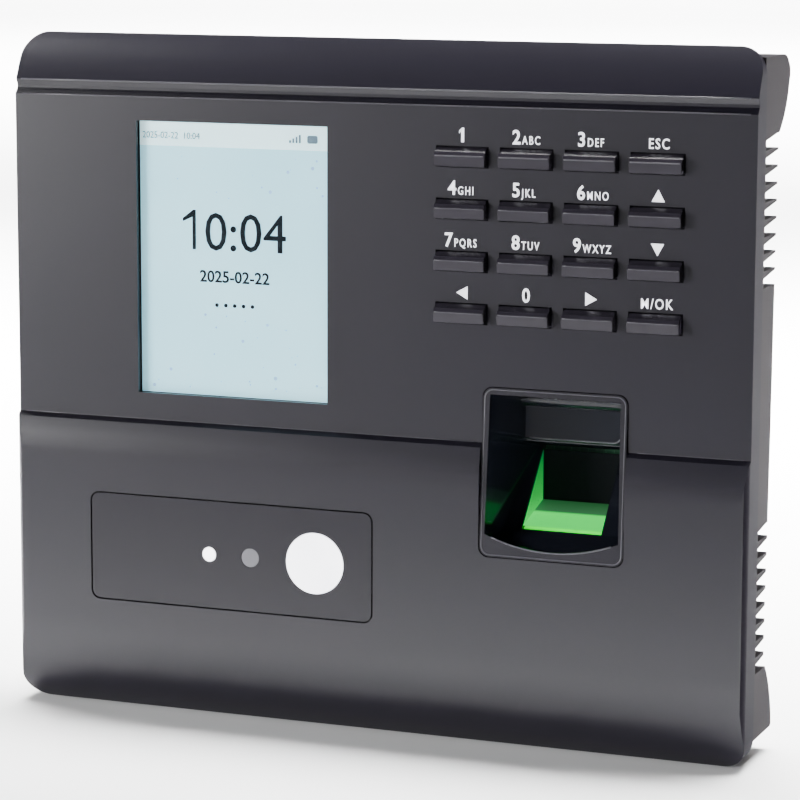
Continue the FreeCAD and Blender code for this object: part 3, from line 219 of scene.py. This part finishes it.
# The colour camera's lens glows white: a painted glint on the lens.
EYE_GLINT = glow("lens_painted_glint", (0.95, 0.95, 1.0), 5.0, scale=400.0)
EYE_GREY = plastic("grey_eye", (0.12, 0.12, 0.135), 0.2, relief=0.02)
GLASS = clear("screen_sheet", (0.02, 0.03, 0.03), 0.05, 0.05)
PRISM = clear("prism_glass", (0.01, 0.015, 0.015), 0.06, 0.02)
LENS = clear("coated_lens", (0.05, 0.04, 0.1), 0.7, 0.03)
GREEN_GLOW = glow("green_light", (0.0, 0.9, 0.03), 0.9, scale=120.0)
LED = glow("lamp", (0.95, 0.95, 0.9), 0.5)
# White print on the keypad; it also glows a little so it reads bright white: painted light on real print.
GLOWING_PRINT = glow("white_ink_painted_glow", (0.9, 0.9, 0.95), 1.1, scale=900.0)

NODE_MATERIALS = {
    "wall_plate": STEEL, "security_screw": SCREW, "front_shell": SHELL, "rear_cover": COVER,
    "lcd_window": GLASS, "lcd_gasket": FOAM, "lcd_panel": BLACK, "lcd_backlight": WHITE, "lcd_bracket": STEEL,
    "camera_window": WINDOW, "fill_light_diffuser": DIFFUSER, "fill_light_leds": LED, "camera_board": BOARD,
    "colour_camera": CHIP, "colour_camera_lens": EYE_GLINT, "infrared_camera": CHIP,
    "infrared_camera_lens": EYE_GREY, "infrared_leds": LENS, "sensor_bezel": SHADED_CRADLE, "sensor_prism": PRISM,
    "sensor_light_guide": GREEN_GLOW, "sensor_carrier": BLACK, "sensor_lens": LENS,
    "sensor_led_board": BOARD, "sensor_leds": GREEN_GLOW, "sensor_camera_board": BOARD,
    "keypad_mat": RUBBER, "keypad_board": BOARD, "main_board": BOARD, "main_chips": CHIP, "lock_relay": BLUE,
    "coin_cell": TIN, "rj45_socket": TIN, "usb_socket": TIN, "dc_jack": BLACK, "terminal_block": GREEN,
    "ribbon_cables": FILM, "speaker": BLACK, "tamper_switch": BLACK, "tamper_plunger": WHITE,
    "reset_switch": BLACK, "reset_button": WHITE, "case_screws": SCREW, "inner_screws": SCREW,
}


def paint(obj, mat):
    obj.data.materials.clear()
    obj.data.materials.append(mat)


def paint_nodes():
    """Give every CAD node its material. The 16 keys share one."""
    for name, obj in NODES.items():
        paint(obj, NODE_MATERIALS.get(name, KEYCAP))


def refinish(node, mat, wanted):
    """Give those faces of a node that are wanted a second material."""
    mesh = NODES[node].data
    mesh.materials.append(mat)
    for face in mesh.polygons:
        if wanted(face):
            face.material_index = 1


def on_bezel_front(face):
    """The bezel's outer face is finished like the shell; its bay is gloss black, made darker than the shell
    to paint in the shade inside the bay.
    """
    return face.center.y < BEZEL_EDGE_Y and face.normal.y < -0.8


def on_side_wall(face):
    """The shell's outer side walls get a rougher, more finely textured copy of its material with the
    reflection almost turned off, so they render darker than its face: painted shade.
    """
    return abs(face.normal.x) > 0.6 and abs(face.center.x) > SIDE_WALL_X


paint_nodes()
refinish("sensor_bezel", SHELL, on_bezel_front)
refinish("front_shell", SHADED_SHELL_SIDE, on_side_wall)


# ---------------------------------------------------------------- geometry helpers

def mesh_object(name, vertices, faces, mat, body="housing", smooth=False):
    mesh = bpy.data.meshes.new(name)
    mesh.from_pydata([Vector(v) for v in vertices], [], faces)
    mesh.validate()
    mesh.update()
    obj = bpy.data.objects.new(name, mesh)
    bpy.context.scene.collection.objects.link(obj)
    paint(obj, mat)
    if smooth:
        for face in mesh.polygons:
            face.use_smooth = True
    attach(obj, body)


def prism_faces(count):
    """Faces of a prism whose first count vertices are one end and the next count the other."""
    ends = [tuple(range(count)), tuple(reversed(range(count, 2 * count)))]
    return ends + [(i, i + count, (i + 1) % count + count, (i + 1) % count) for i in range(count)]


def slab(name, outline, back, front, mat):
    """A flat piece: an outline in X and Z, extruded along Y."""
    vertices = [(x, front, z) for x, z in outline] + [(x, back, z) for x, z in outline]
    mesh_object(name, vertices, prism_faces(len(outline)), mat)


def rectangle(x0, x1, z0, z1):
    return [(x0, z0), (x1, z0), (x1, z1), (x0, z1)]


def round_rect(x0, x1, z0, z1, radius):
    steps = 8
    points = []
    for cx, cz, start in ((x1 - radius, z0 + radius, -90), (x1 - radius, z1 - radius, 0),
                          (x0 + radius, z1 - radius, 90), (x0 + radius, z0 + radius, 180)):
        for i in range(steps + 1):
            angle = math.radians(start + 90.0 * i / steps)
            points.append((cx + radius * math.cos(angle), cz + radius * math.sin(angle)))
    return points


INK_THICK = 0.04 * MM
CAPITAL_SHARE = 0.73    # height of a capital letter as a share of the font's size


def lettering(name, text, place, height, mat, align="CENTER", weight=0.0, squeeze=1.0, spacing=1.0):
    """Printed characters standing a hair above a surface that faces -Y. height is the capital height."""
    curve = bpy.data.curves.new(name, "FONT")
    curve.body = text
    curve.size = height / CAPITAL_SHARE
    curve.align_x = align
    curve.offset = weight
    curve.space_character = spacing
    curve.extrude = INK_THICK
    curve.resolution_u = 3
    source = bpy.data.objects.new(name + "_source", curve)
    bpy.context.scene.collection.objects.link(source)
    source.matrix_world = (Matrix.Translation(place) @ Matrix.Rotation(math.pi / 2, 4, "X")
                           @ Matrix.Diagonal((squeeze, 1, 1, 1)))
    bpy.context.view_layer.update()
    graph = bpy.context.evaluated_depsgraph_get()
    mesh = bpy.data.meshes.new_from_object(source.evaluated_get(graph))
    mesh.transform(source.matrix_world)
    mesh.name = name
    bpy.data.objects.remove(source)
    obj = bpy.data.objects.new(name, mesh)
    bpy.context.scene.collection.objects.link(obj)
    paint(obj, mat)
    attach(obj, "housing")


def figure_one(name, place, height, stroke, mat):
    """The figure 1 with a flag, drawn as one outline, from its left end on the base line."""
    left, y, base = place
    right = left + 0.36 * height
    top = base + height
    flag = base + 0.78 * height
    outline = [(right - stroke, base), (right, base), (right, top), (right - 0.75 * stroke, top),
               (left, flag), (left, flag - 0.9 * stroke), (right - stroke, base + 0.82 * height)]
    slab(name, outline, y + 0.04 * MM, y - 0.02 * MM, mat)


# ---------------------------------------------------------------- keypad legends

LEGENDS = {
    "1": ("1", ""), "2": ("2", "ABC"), "3": ("3", "DEF"), "esc": ("", "ESC"),
    "4": ("4", "GHI"), "5": ("5", "JKL"), "6": ("6", "MNO"), "up": ("^", ""),
    "7": ("7", "PQRS"), "8": ("8", "TUV"), "9": ("9", "WXYZ"), "down": ("v", ""),
    "left": ("<", ""), "0": ("0", ""), "right": (">", ""), "ok": ("", "M/OK"),
}
ARROW_TURNS = {"^": 0, "<": 90, "v": 180, ">": -90}
LEGEND_RIGHT = 0.2 * MM         # legends stand a little right of their keys' middles
LEGEND_RISE = 3.05 * MM         # from a key's middle to its legend's base line
DIGIT_HEIGHT = 3.0 * MM
DIGIT_WEIGHT = 0.08 * MM
DIGIT_ROOM = 2.15 * MM          # from a digit's left end to the small letters after it
LETTER_HEIGHT = 1.8 * MM
WORD_HEIGHT = 2.2 * MM
ARROW_HALF = 1.4 * MM
ARROW_RISE = 1.3 * MM


def arrow(name, x, z, turn):
    """Filled triangle, point up at no turn."""
    corners = [(-ARROW_HALF, -0.85 * ARROW_HALF), (ARROW_HALF, -0.85 * ARROW_HALF), (0.0, 0.95 * ARROW_HALF)]
    spin = math.radians(turn)
    outline = [(x + px * math.cos(spin) - pz * math.sin(spin), z + px * math.sin(spin) + pz * math.cos(spin))
               for px, pz in corners]
    slab(name, outline, PANEL_Y + 0.02 * MM, PANEL_Y - 0.05 * MM, GLOWING_PRINT)


def legend(key, big, small):
    """What is printed above one key: an arrow, a word, a digit, or a digit with letters after it."""
    low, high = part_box("key_" + key)
    x = (low[0] + high[0]) / 2 + LEGEND_RIGHT
    base = (low[2] + high[2]) / 2 + LEGEND_RISE
    y = PANEL_Y - 0.03 * MM
    if big in ARROW_TURNS:
        arrow("legend_arrow_" + key, x, base + ARROW_RISE, ARROW_TURNS[big])
    elif not big:
        lettering("legend_" + key, small, (x, y, base), WORD_HEIGHT, GLOWING_PRINT, weight=0.03 * MM, squeeze=0.8,
                  spacing=1.22)
    elif key == "1":
        figure_one("legend_1", (x - 0.9 * MM, y, base), DIGIT_HEIGHT, 0.62 * MM, GLOWING_PRINT)
    elif not small:
        lettering("legend_" + key, big, (x, y, base), DIGIT_HEIGHT, GLOWING_PRINT, weight=DIGIT_WEIGHT, squeeze=0.85)
    else:
        width = (2.1 + 1.5 * len(small)) * MM
        left = x - width / 2
        lettering("legend_" + key, big, (left, y, base), DIGIT_HEIGHT, GLOWING_PRINT, "LEFT", DIGIT_WEIGHT,
                  squeeze=0.9)
        lettering("legend_letters_" + key, small, (left + DIGIT_ROOM, y, base), LETTER_HEIGHT, GLOWING_PRINT, "LEFT",
                  0.025 * MM, squeeze=0.72, spacing=1.3)


for key, (big, small) in LEGENDS.items():
    legend(key, big, small)


# ---------------------------------------------------------------- display picture

SCREEN_LEFT, SCREEN_RIGHT = -54.4 * MM, -9.8 * MM
SCREEN_LOW, SCREEN_TOP = -3.3 * MM, 55.8 * MM
SCREEN_MIDDLE = (SCREEN_LEFT + SCREEN_RIGHT) / 2
SCREEN_Y = -28.26 * MM          # front of the lit picture, behind the cover sheet
BAR_LOW = SCREEN_TOP - 5.2 * MM
BAR_BASE = BAR_LOW + 1.5 * MM   # base line of the marks in the status bar
INK_Y = SCREEN_Y - 0.05 * MM
CLOCK_BASE = 28.4 * MM
CLOCK_HEIGHT = 8.6 * MM
DATE_BASE = 21.5 * MM
DOT_BASE = 16.1 * MM
DOT_HALF = 0.42 * MM
SPECK_SIDES = 10

PICTURE = glow("display_picture", (0.56, 0.76, 0.79), 0.9,
               [(0.2, (0.27, 0.60, 0.72)), (0.5, (0.34, 0.68, 0.80)), (0.8, (0.46, 0.78, 0.86))], 22.0)
BAR = glow("display_bar", (0.58, 0.86, 0.92), 1.1)
INK = plastic("display_ink", (0.004, 0.008, 0.012), 0.8, relief=0.0, specular=0.1)
SOFT_INK = glow("display_soft_ink", (0.06, 0.12, 0.17), 0.3)
SPECKS = glow("display_dots", (0.22, 0.42, 0.56), 0.8)


def display_face():
    """The lit picture, and the paler status bar along its top."""
    gasket_low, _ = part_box("lcd_gasket")
    slab("display_picture", rectangle(SCREEN_LEFT, SCREEN_RIGHT, SCREEN_LOW, SCREEN_TOP),
         gasket_low[1] + 0.8 * MM, SCREEN_Y, PICTURE)
    slab("display_status_bar", rectangle(SCREEN_LEFT, SCREEN_RIGHT, BAR_LOW, SCREEN_TOP),
         SCREEN_Y + 0.01 * MM, SCREEN_Y - 0.03 * MM, BAR)


def display_clock():
    """A clock, a date and a row of dots in the middle."""
    lettering("display_clock", "0:04", (SCREEN_MIDDLE - 7.2 * MM, INK_Y, CLOCK_BASE), CLOCK_HEIGHT, INK,
              "LEFT", squeeze=0.97)
    figure_one("display_clock_one", (SCREEN_MIDDLE - 12.2 * MM, INK_Y, CLOCK_BASE), CLOCK_HEIGHT,
               0.8 * MM, INK)
    lettering("display_date", "2025-02-22", (SCREEN_MIDDLE, INK_Y, DATE_BASE), 2.6 * MM, INK,
              weight=0.06 * MM)
    for i in range(5):
        x = SCREEN_MIDDLE + (i - 2) * 2.1 * MM
        dot = round_rect(x - DOT_HALF, x + DOT_HALF, DOT_BASE, DOT_BASE + 2 * DOT_HALF, 0.4 * MM)
        slab("display_dot_%d" % i, dot, SCREEN_Y, INK_Y, INK)


def display_bar():
    """The status bar's small clock, signal bars and plug mark."""
    lettering("display_bar_clock", "2025-02-22  10:04", (SCREEN_LEFT + 0.6 * MM, INK_Y, BAR_LOW + 1.6 * MM),
              1.5 * MM, SOFT_INK, "LEFT", squeeze=0.9)
    for i, height in enumerate((0.6, 1.0, 1.4, 1.8)):
        x = SCREEN_RIGHT - (9.4 - 0.75 * i) * MM
        slab("display_signal_%d" % i, rectangle(x, x + 0.45 * MM, BAR_BASE, BAR_LOW + (1.5 + height) * MM),
             SCREEN_Y, INK_Y, SOFT_INK)
    x = SCREEN_RIGHT - 5.2 * MM
    slab("display_plug_mark", round_rect(x, x + 2.4 * MM, BAR_BASE, BAR_LOW + 3.2 * MM, 0.4 * MM),
         SCREEN_Y, INK_Y, SOFT_INK)


def display_specks():
    """Small specks scattered in the picture, most of them in its lower third, as one piece."""
    rng = random.Random(11)
    vertices = []
    faces = []
    for _ in range(46):
        in_lower_part = rng.random() < 0.7
        x = SCREEN_LEFT + 1.5 * MM + rng.random() * (SCREEN_RIGHT - SCREEN_LEFT - 3 * MM)
        if in_lower_part:
            z = SCREEN_LOW + 1.5 * MM + rng.random() ** 1.5 * 17 * MM
        else:
            z = BAR_LOW - 2 * MM - rng.random() * 9 * MM
        size = (0.14 + 0.34 * rng.random() ** 2) * MM
        start = len(vertices)
        for k in range(SPECK_SIDES):
            angle = 2 * math.pi * k / SPECK_SIDES
            vertices.append((x + size * math.cos(angle), INK_Y + 0.02 * MM, z + size * math.sin(angle)))
        faces.append(tuple(range(start, start + SPECK_SIDES)))
    mesh_object("display_dots", vertices, faces, SPECKS)


display_face()
display_clock()
display_bar()
display_specks()


# ---------------------------------------------------------------- finger sensor glow

# The glow's edges, as Y and Z, a little inside the prism
GLOW_FRONT = (-24.6 * MM, -27.4 * MM)
GLOW_TOP = (-11.8 * MM, -13.0 * MM)
GLOW_BACK = (-11.8 * MM, -24.0 * MM)


def shaded_glow(name, axis, start, end, stops, strength):
    """A lit face whose light changes along one row axis, from start to end in metres."""
    mat, tree, shader = new_material(name)
    coords = tree.nodes.new("ShaderNodeTexCoord")
    split = tree.nodes.new("ShaderNodeSeparateXYZ")
    tree.links.new(coords.outputs["Object"], split.inputs["Vector"])
    place = tree.nodes.new("ShaderNodeMapRange")
    place.inputs["From Min"].default_value = start
    place.inputs["From Max"].default_value = end
    tree.links.new(split.outputs[axis], place.inputs["Value"])
    tint = add_ramp(tree, place.outputs["Result"], stops)
    tree.links.new(tint, shader.inputs["Emission Color"])
    shader.inputs["Base Color"].default_value = (0.01, 0.05, 0.01, 1)
    shader.inputs["Emission Strength"].default_value = strength
    return mat


GREEN_SIDE = shaded_glow("green_side_light", "Z", GLOW_FRONT[1], GLOW_TOP[1],
                         [(0.0, (0.0, 0.62, 0.07)), (0.35, (0.0, 0.34, 0.04)), (1.0, (0.0, 0.1, 0.02))], 1.5)
GREEN_FLOOR = shaded_glow("green_floor_light", "Y", GLOW_FRONT[0], GLOW_BACK[0],
                          [(0.0, (0.0, 0.85, 0.09)), (0.52, (0.0, 1.0, 0.1)), (0.6, (0.03, 0.13, 0.05)),
                           (1.0, (0.01, 0.07, 0.02))], 1.35)


def sensor_glow():
    """Light from the guide on the prism's left wall and floor, and behind them a near-black sheet that paints
    in the shade of the chamber.
    """
    low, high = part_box("sensor_prism")
    x0, x1 = low[0] + 0.1 * MM, high[0] - 0.1 * MM
    mesh_object("glow_left", [(x0, *GLOW_FRONT), (x0, *GLOW_TOP), (x0, *GLOW_BACK)], [(0, 1, 2)],
                GREEN_SIDE)
    mesh_object("glow_floor", [(x0, *GLOW_FRONT), (x1, *GLOW_FRONT), (x1, *GLOW_BACK), (x0, *GLOW_BACK)],
                [(0, 1, 2, 3)], GREEN_FLOOR)
    mesh_object("prism_back", [(x0, *GLOW_BACK), (x1, *GLOW_BACK), (x1, *GLOW_TOP), (x0, *GLOW_TOP)],
                [(0, 1, 2, 3)], SHADE_SHEET)


sensor_glow()


# ---------------------------------------------------------------- rounded lips and small fittings

# Lighter plastic for the thin beads on edges: the beads are real rounded edges, and their lighter colour
# paints in the highlights along them.
EDGE_HIGHLIGHT = plastic("edge_painted_highlight", (0.034, 0.032, 0.04), 0.3, relief=0.03, spread=0.05)
# Paler plastic for the finger stop and scoop lips: their colour paints in the highlight lines along them.
LIP_HIGHLIGHT = plastic("lip_painted_highlight", (0.06, 0.06, 0.07), 0.2, relief=0.02, spread=0.05)


LIP_SIDE_X = 82.2 * MM          # where the lips across the shell end on either side
EDGE_RADIUS = 0.14 * MM
RIM_RADIUS = 0.13 * MM
RIM_HALF = 15.4 * MM            # half the bezel's width inside its rim
RIM_LOW, RIM_TOP = -32.6 * MM, 2.2 * MM
STOP_Y, STOP_Z = -17.1 * MM, -9.8 * MM
STOP_LEFT, STOP_RIGHT = BAY_X - 10.0 * MM, BAY_X + 8.6 * MM
STOP_BEND = 2.0 * MM
SCOOP_RADIUS = 37.7 * MM
SCOOP_CENTRE_Z = 6.4 * MM
SCOOP_HALF_ANGLE = 20.5


def face_y(z):
    """Front of the bezel's tilted face."""
    return -0.03005 - (0.0026 - z) * 0.0604


def bead(name, path, radius, mat, closed=False, body="housing"):
    """A thin round lip along a path of points."""
    sides = 8
    count = len(path)
    points = [Vector(p) for p in path]
    vertices = []
    for i, point in enumerate(points):
        before = points[i - 1] if closed or i > 0 else point
        after = points[(i + 1) % count] if closed or i < count - 1 else point
        along = (after - before).normalized()
        across = along.cross(Vector((0.0, 1.0, 0.0))).normalized()
        out = along.cross(across)
        for k in range(sides):
            angle = 2 * math.pi * k / sides
            vertices.append(point + (across * math.cos(angle) + out * math.sin(angle)) * radius)
    faces = []
    for i in range(count if closed else count - 1):
        for k in range(sides):
            a, b = i * sides + k, i * sides + (k + 1) % sides
            c, d = ((i + 1) % count) * sides + (k + 1) % sides, ((i + 1) % count) * sides + k
            faces.append((a, b, c, d))
    if not closed:
        faces.append(tuple(reversed(range(sides))))
        faces.append(tuple(range((count - 1) * sides, count * sides)))
    mesh_object(name, vertices, faces, mat, body, smooth=True)


def straight(x0, x1, y, z):
    """Points of a straight path along X."""
    steps = 12
    return [(x0 + (x1 - x0) * i / steps, y, z) for i in range(steps + 1)]


def shell_lip(name, x0, x1, y, z):
    bead(name, straight(x0, x1, y, z), EDGE_RADIUS, EDGE_HIGHLIGHT)


def shell_lips():
    """Lips across the shell, above and below the groove and along the step, that catch the light; their
    lighter colour paints the highlight in.
    """
    shell_lip("groove_upper_lip", -LIP_SIDE_X, LIP_SIDE_X, -30.28 * MM, 64.3 * MM)
    shell_lip("groove_lower_lip", -LIP_SIDE_X, LIP_SIDE_X, -29.92 * MM, 61.1 * MM)
    low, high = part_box("sensor_bezel")
    overlap = 3.1 * MM
    shell_lip("step_lip_left", -LIP_SIDE_X, low[0] + overlap, -29.9 * MM, STEP_Z)
    shell_lip("step_lip_right", high[0] - overlap, LIP_SIDE_X, -29.9 * MM, STEP_Z)


def bezel_rim():
    # The rim is a real rounded edge; its lighter colour paints in the highlight along it.
    outline = round_rect(BAY_X - RIM_HALF, BAY_X + RIM_HALF, RIM_LOW, RIM_TOP, 1.9 * MM)
    rim = [(x, face_y(z) + 0.05 * MM, z) for x, z in outline]
    bead("bezel_rim", rim, RIM_RADIUS, EDGE_HIGHLIGHT, closed=True)


def finger_stop_lip():
    """The lip over the glass, straight and then bent up at its right end. Its pale colour and bent end paint
    in a J-shaped reflection on the fillet there.
    """
    path = straight(STOP_LEFT, STOP_RIGHT, STOP_Y, STOP_Z)
    for i in range(1, 9):
        angle = math.radians(90.0 * i / 8)
        path.append((STOP_RIGHT + STOP_BEND * math.sin(angle), STOP_Y - 0.1 * MM,
                     STOP_Z + STOP_BEND * (1 - math.cos(angle))))
    bead("finger_stop_lip", path, 0.22 * MM, LIP_HIGHLIGHT)


def scoop_lip():
    """The arc under the bay, in a pale colour that paints in the highlight line along it."""
    path = []
    for i in range(25):
        angle = math.radians(SCOOP_HALF_ANGLE * (i / 12 - 1))
        z = SCOOP_CENTRE_Z - SCOOP_RADIUS * math.cos(angle)
        path.append((BAY_X + SCOOP_RADIUS * math.sin(angle), face_y(z) + 0.1 * MM, z))
    bead("scoop_lip", path, 0.2 * MM, LIP_HIGHLIGHT)


def key_caps():
    """The moulded front of each key: a face, a rounded ridge and a slope above it."""
    for name in LEGENDS:
        low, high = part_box("key_" + name)
        body = "key_%s_body" % name
        middle = (low[2] + high[2]) / 2
        x0, x1, front = low[0] + 0.82 * MM, high[0] - 0.82 * MM, low[1]
        side = [(0.2, -1.85), (-0.04, -1.78), (-0.28, 0.28), (-0.26, 0.4), (0.1, 1.15), (0.6, 1.1)]
        outline = [(front + depth * MM, middle + rise * MM) for depth, rise in side]
        vertices = [(x0, y, z) for y, z in outline] + [(x1, y, z) for y, z in outline]
        mesh_object("key_cap_" + name, vertices, prism_faces(len(outline)), KEYCAP, body)
        # The ridge bead's lighter colour paints in the highlight along each key's crest.
        ridge = straight(x0 + 0.2 * MM, x1 - 0.2 * MM, front - 0.22 * MM, middle + 0.32 * MM)
        bead("key_ridge_" + name, ridge, EDGE_RADIUS, EDGE_HIGHLIGHT, body=body)


def contacts():
    """Gold springs in the network socket and on the USB tongue."""
    half_wide = 0.25 * MM
    for i in range(8):
        x = -61.57 * MM + 1.02 * MM * i
        slab("network_contact_%d" % i, rectangle(x - half_wide, x + half_wide, -27.2 * MM, -18.0 * MM),
             -7.86 * MM, -8.45 * MM, GOLD)
    low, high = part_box("usb_socket")
    half_wide = 0.5 * MM
    for i in range(4):
        x = (low[0] + high[0]) / 2 + (i - 1.5) * 2.4 * MM
        outline = rectangle(x - half_wide, x + half_wide, low[2] + 1.4 * MM, low[2] + 8.5 * MM)
        slab("usb_contact_%d" % i, outline, low[1] + 1.38 * MM, low[1] + 1.52 * MM, GOLD)


shell_lips()
bezel_rim()
finger_stop_lip()
scoop_lip()
key_caps()
contacts()


# ---------------------------------------------------------------- floor, light and camera

def stage():
    """A pale matt floor just under the object."""
    floor_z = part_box("front_shell")[0][2] - 0.2 * MM
    mesh = bpy.data.meshes.new("floor")
    half = 12.0
    corners = [(x, y, floor_z) for x, y in rectangle(-half, half, -half, half)]
    mesh.from_pydata(corners, [], [(0, 1, 2, 3)])
    floor = bpy.data.objects.new("floor", mesh)
    bpy.context.scene.collection.objects.link(floor)
    mat, tree, shader = new_material("floor_paint")
    noise = add_noise(tree, add_coords(tree), 6.0, 3.0)
    tint = add_ramp(tree, noise, [(0.3, grey(0.9)), (0.7, grey(0.93))])
    tree.links.new(tint, shader.inputs["Base Color"])
    shader.inputs["Roughness"].default_value = 0.9
    shader.inputs["Specular IOR Level"].default_value = 0.1
    paint(floor, mat)


def area_light(name, place, target, size, power, spread=180):
    data = bpy.data.lights.new(name, "AREA")
    data.shape = "RECTANGLE"
    data.size, data.size_y = size
    data.energy = power
    data.spread = math.radians(spread)
    light = bpy.data.objects.new(name, data)
    bpy.context.scene.collection.objects.link(light)
    light.location = place
    light.rotation_euler = (Vector(target) - Vector(place)).to_track_quat("-Z", "Y").to_euler()


def world():
    """Bright behind the object and low down, dark overhead and dim in front."""
    scene_world = bpy.data.worlds.new("studio")
    bpy.context.scene.world = scene_world
    scene_world.use_nodes = True
    tree = scene_world.node_tree
    background = tree.nodes["Background"]
    coords = tree.nodes.new("ShaderNodeTexCoord")
    split = tree.nodes.new("ShaderNodeSeparateXYZ")
    tree.links.new(coords.outputs["Generated"], split.inputs["Vector"])
    stops = [(0.0, grey(1.0)), (0.3, grey(0.75)), (0.55, grey(0.08)), (1.0, grey(0.03))]
    tint = add_ramp(tree, split.outputs["Z"], stops)
    facing = tree.nodes.new("ShaderNodeMapRange")
    facing.inputs["From Min"].default_value = -1.0
    tree.links.new(split.outputs["Y"], facing.inputs["Value"])
    behind = add_ramp(tree, facing.outputs["Result"], [(0.0, grey(0.2)), (0.6, grey(0.2)), (0.85, grey(1.0)),
                                                       (1.0, grey(1.0))])
    both = tree.nodes.new("ShaderNodeVectorMath")
    both.operation = "MULTIPLY"
    tree.links.new(tint, both.inputs[0])
    tree.links.new(behind, both.inputs[1])
    tree.links.new(both.outputs["Vector"], background.inputs["Color"])
    background.inputs["Strength"].default_value = 1.5


def camera():
    """A three-quarter view from the right, looking slightly down."""
    place = Vector((0.2500, -0.6444, 0.1051))
    yaw, pitch, roll = math.radians(21.58), math.radians(9.15), math.radians(-0.18)
    forward = Vector((-math.sin(yaw) * math.cos(pitch), math.cos(yaw) * math.cos(pitch), -math.sin(pitch)))
    right = Vector((math.cos(yaw), math.sin(yaw), 0.0))
    down = forward.cross(right)
    right, down = (right * math.cos(roll) + down * math.sin(roll),
                   down * math.cos(roll) - right * math.sin(roll))
    data = bpy.data.cameras.new("camera")
    data.sensor_width = 36.0
    data.lens = 142.335
    data.clip_start = 0.05
    data.clip_end = 60.0
    obj = bpy.data.objects.new("camera", data)
    bpy.context.scene.collection.objects.link(obj)
    turn = Matrix((right, -down, -forward)).transposed().to_4x4()
    obj.matrix_world = Matrix.Translation(place) @ turn
    bpy.context.scene.camera = obj


stage()
world()
area_light("key_light", (-1.35, -1.15, 0.16), (0, 0, -0.01), (0.75, 0.34), 58.0)
area_light("strip_light", (-0.587, -0.37, 0.648), (-0.06, -0.03, 0.07), (0.06, 0.3), 1.3)
area_light("back_floor_light", (-0.3, 2.1, 1.8), (-0.3, 2.1, -0.07), (3.2, 1.8), 260.0, spread=70)
area_light("far_floor_light", (-1.4, 4.6, 2.6), (-1.4, 4.4, -0.07), (5.0, 3.0), 700.0, spread=110)
area_light("front_floor_light", (0.8, -3.4, 2.4), (0.8, -3.4, -0.07), (4.0, 1.8), 130.0, spread=80)
area_light("near_floor_light", (0.0, 0.42, 1.0), (0.0, 0.42, -0.07), (1.4, 0.75), 60.0, spread=52)
camera()
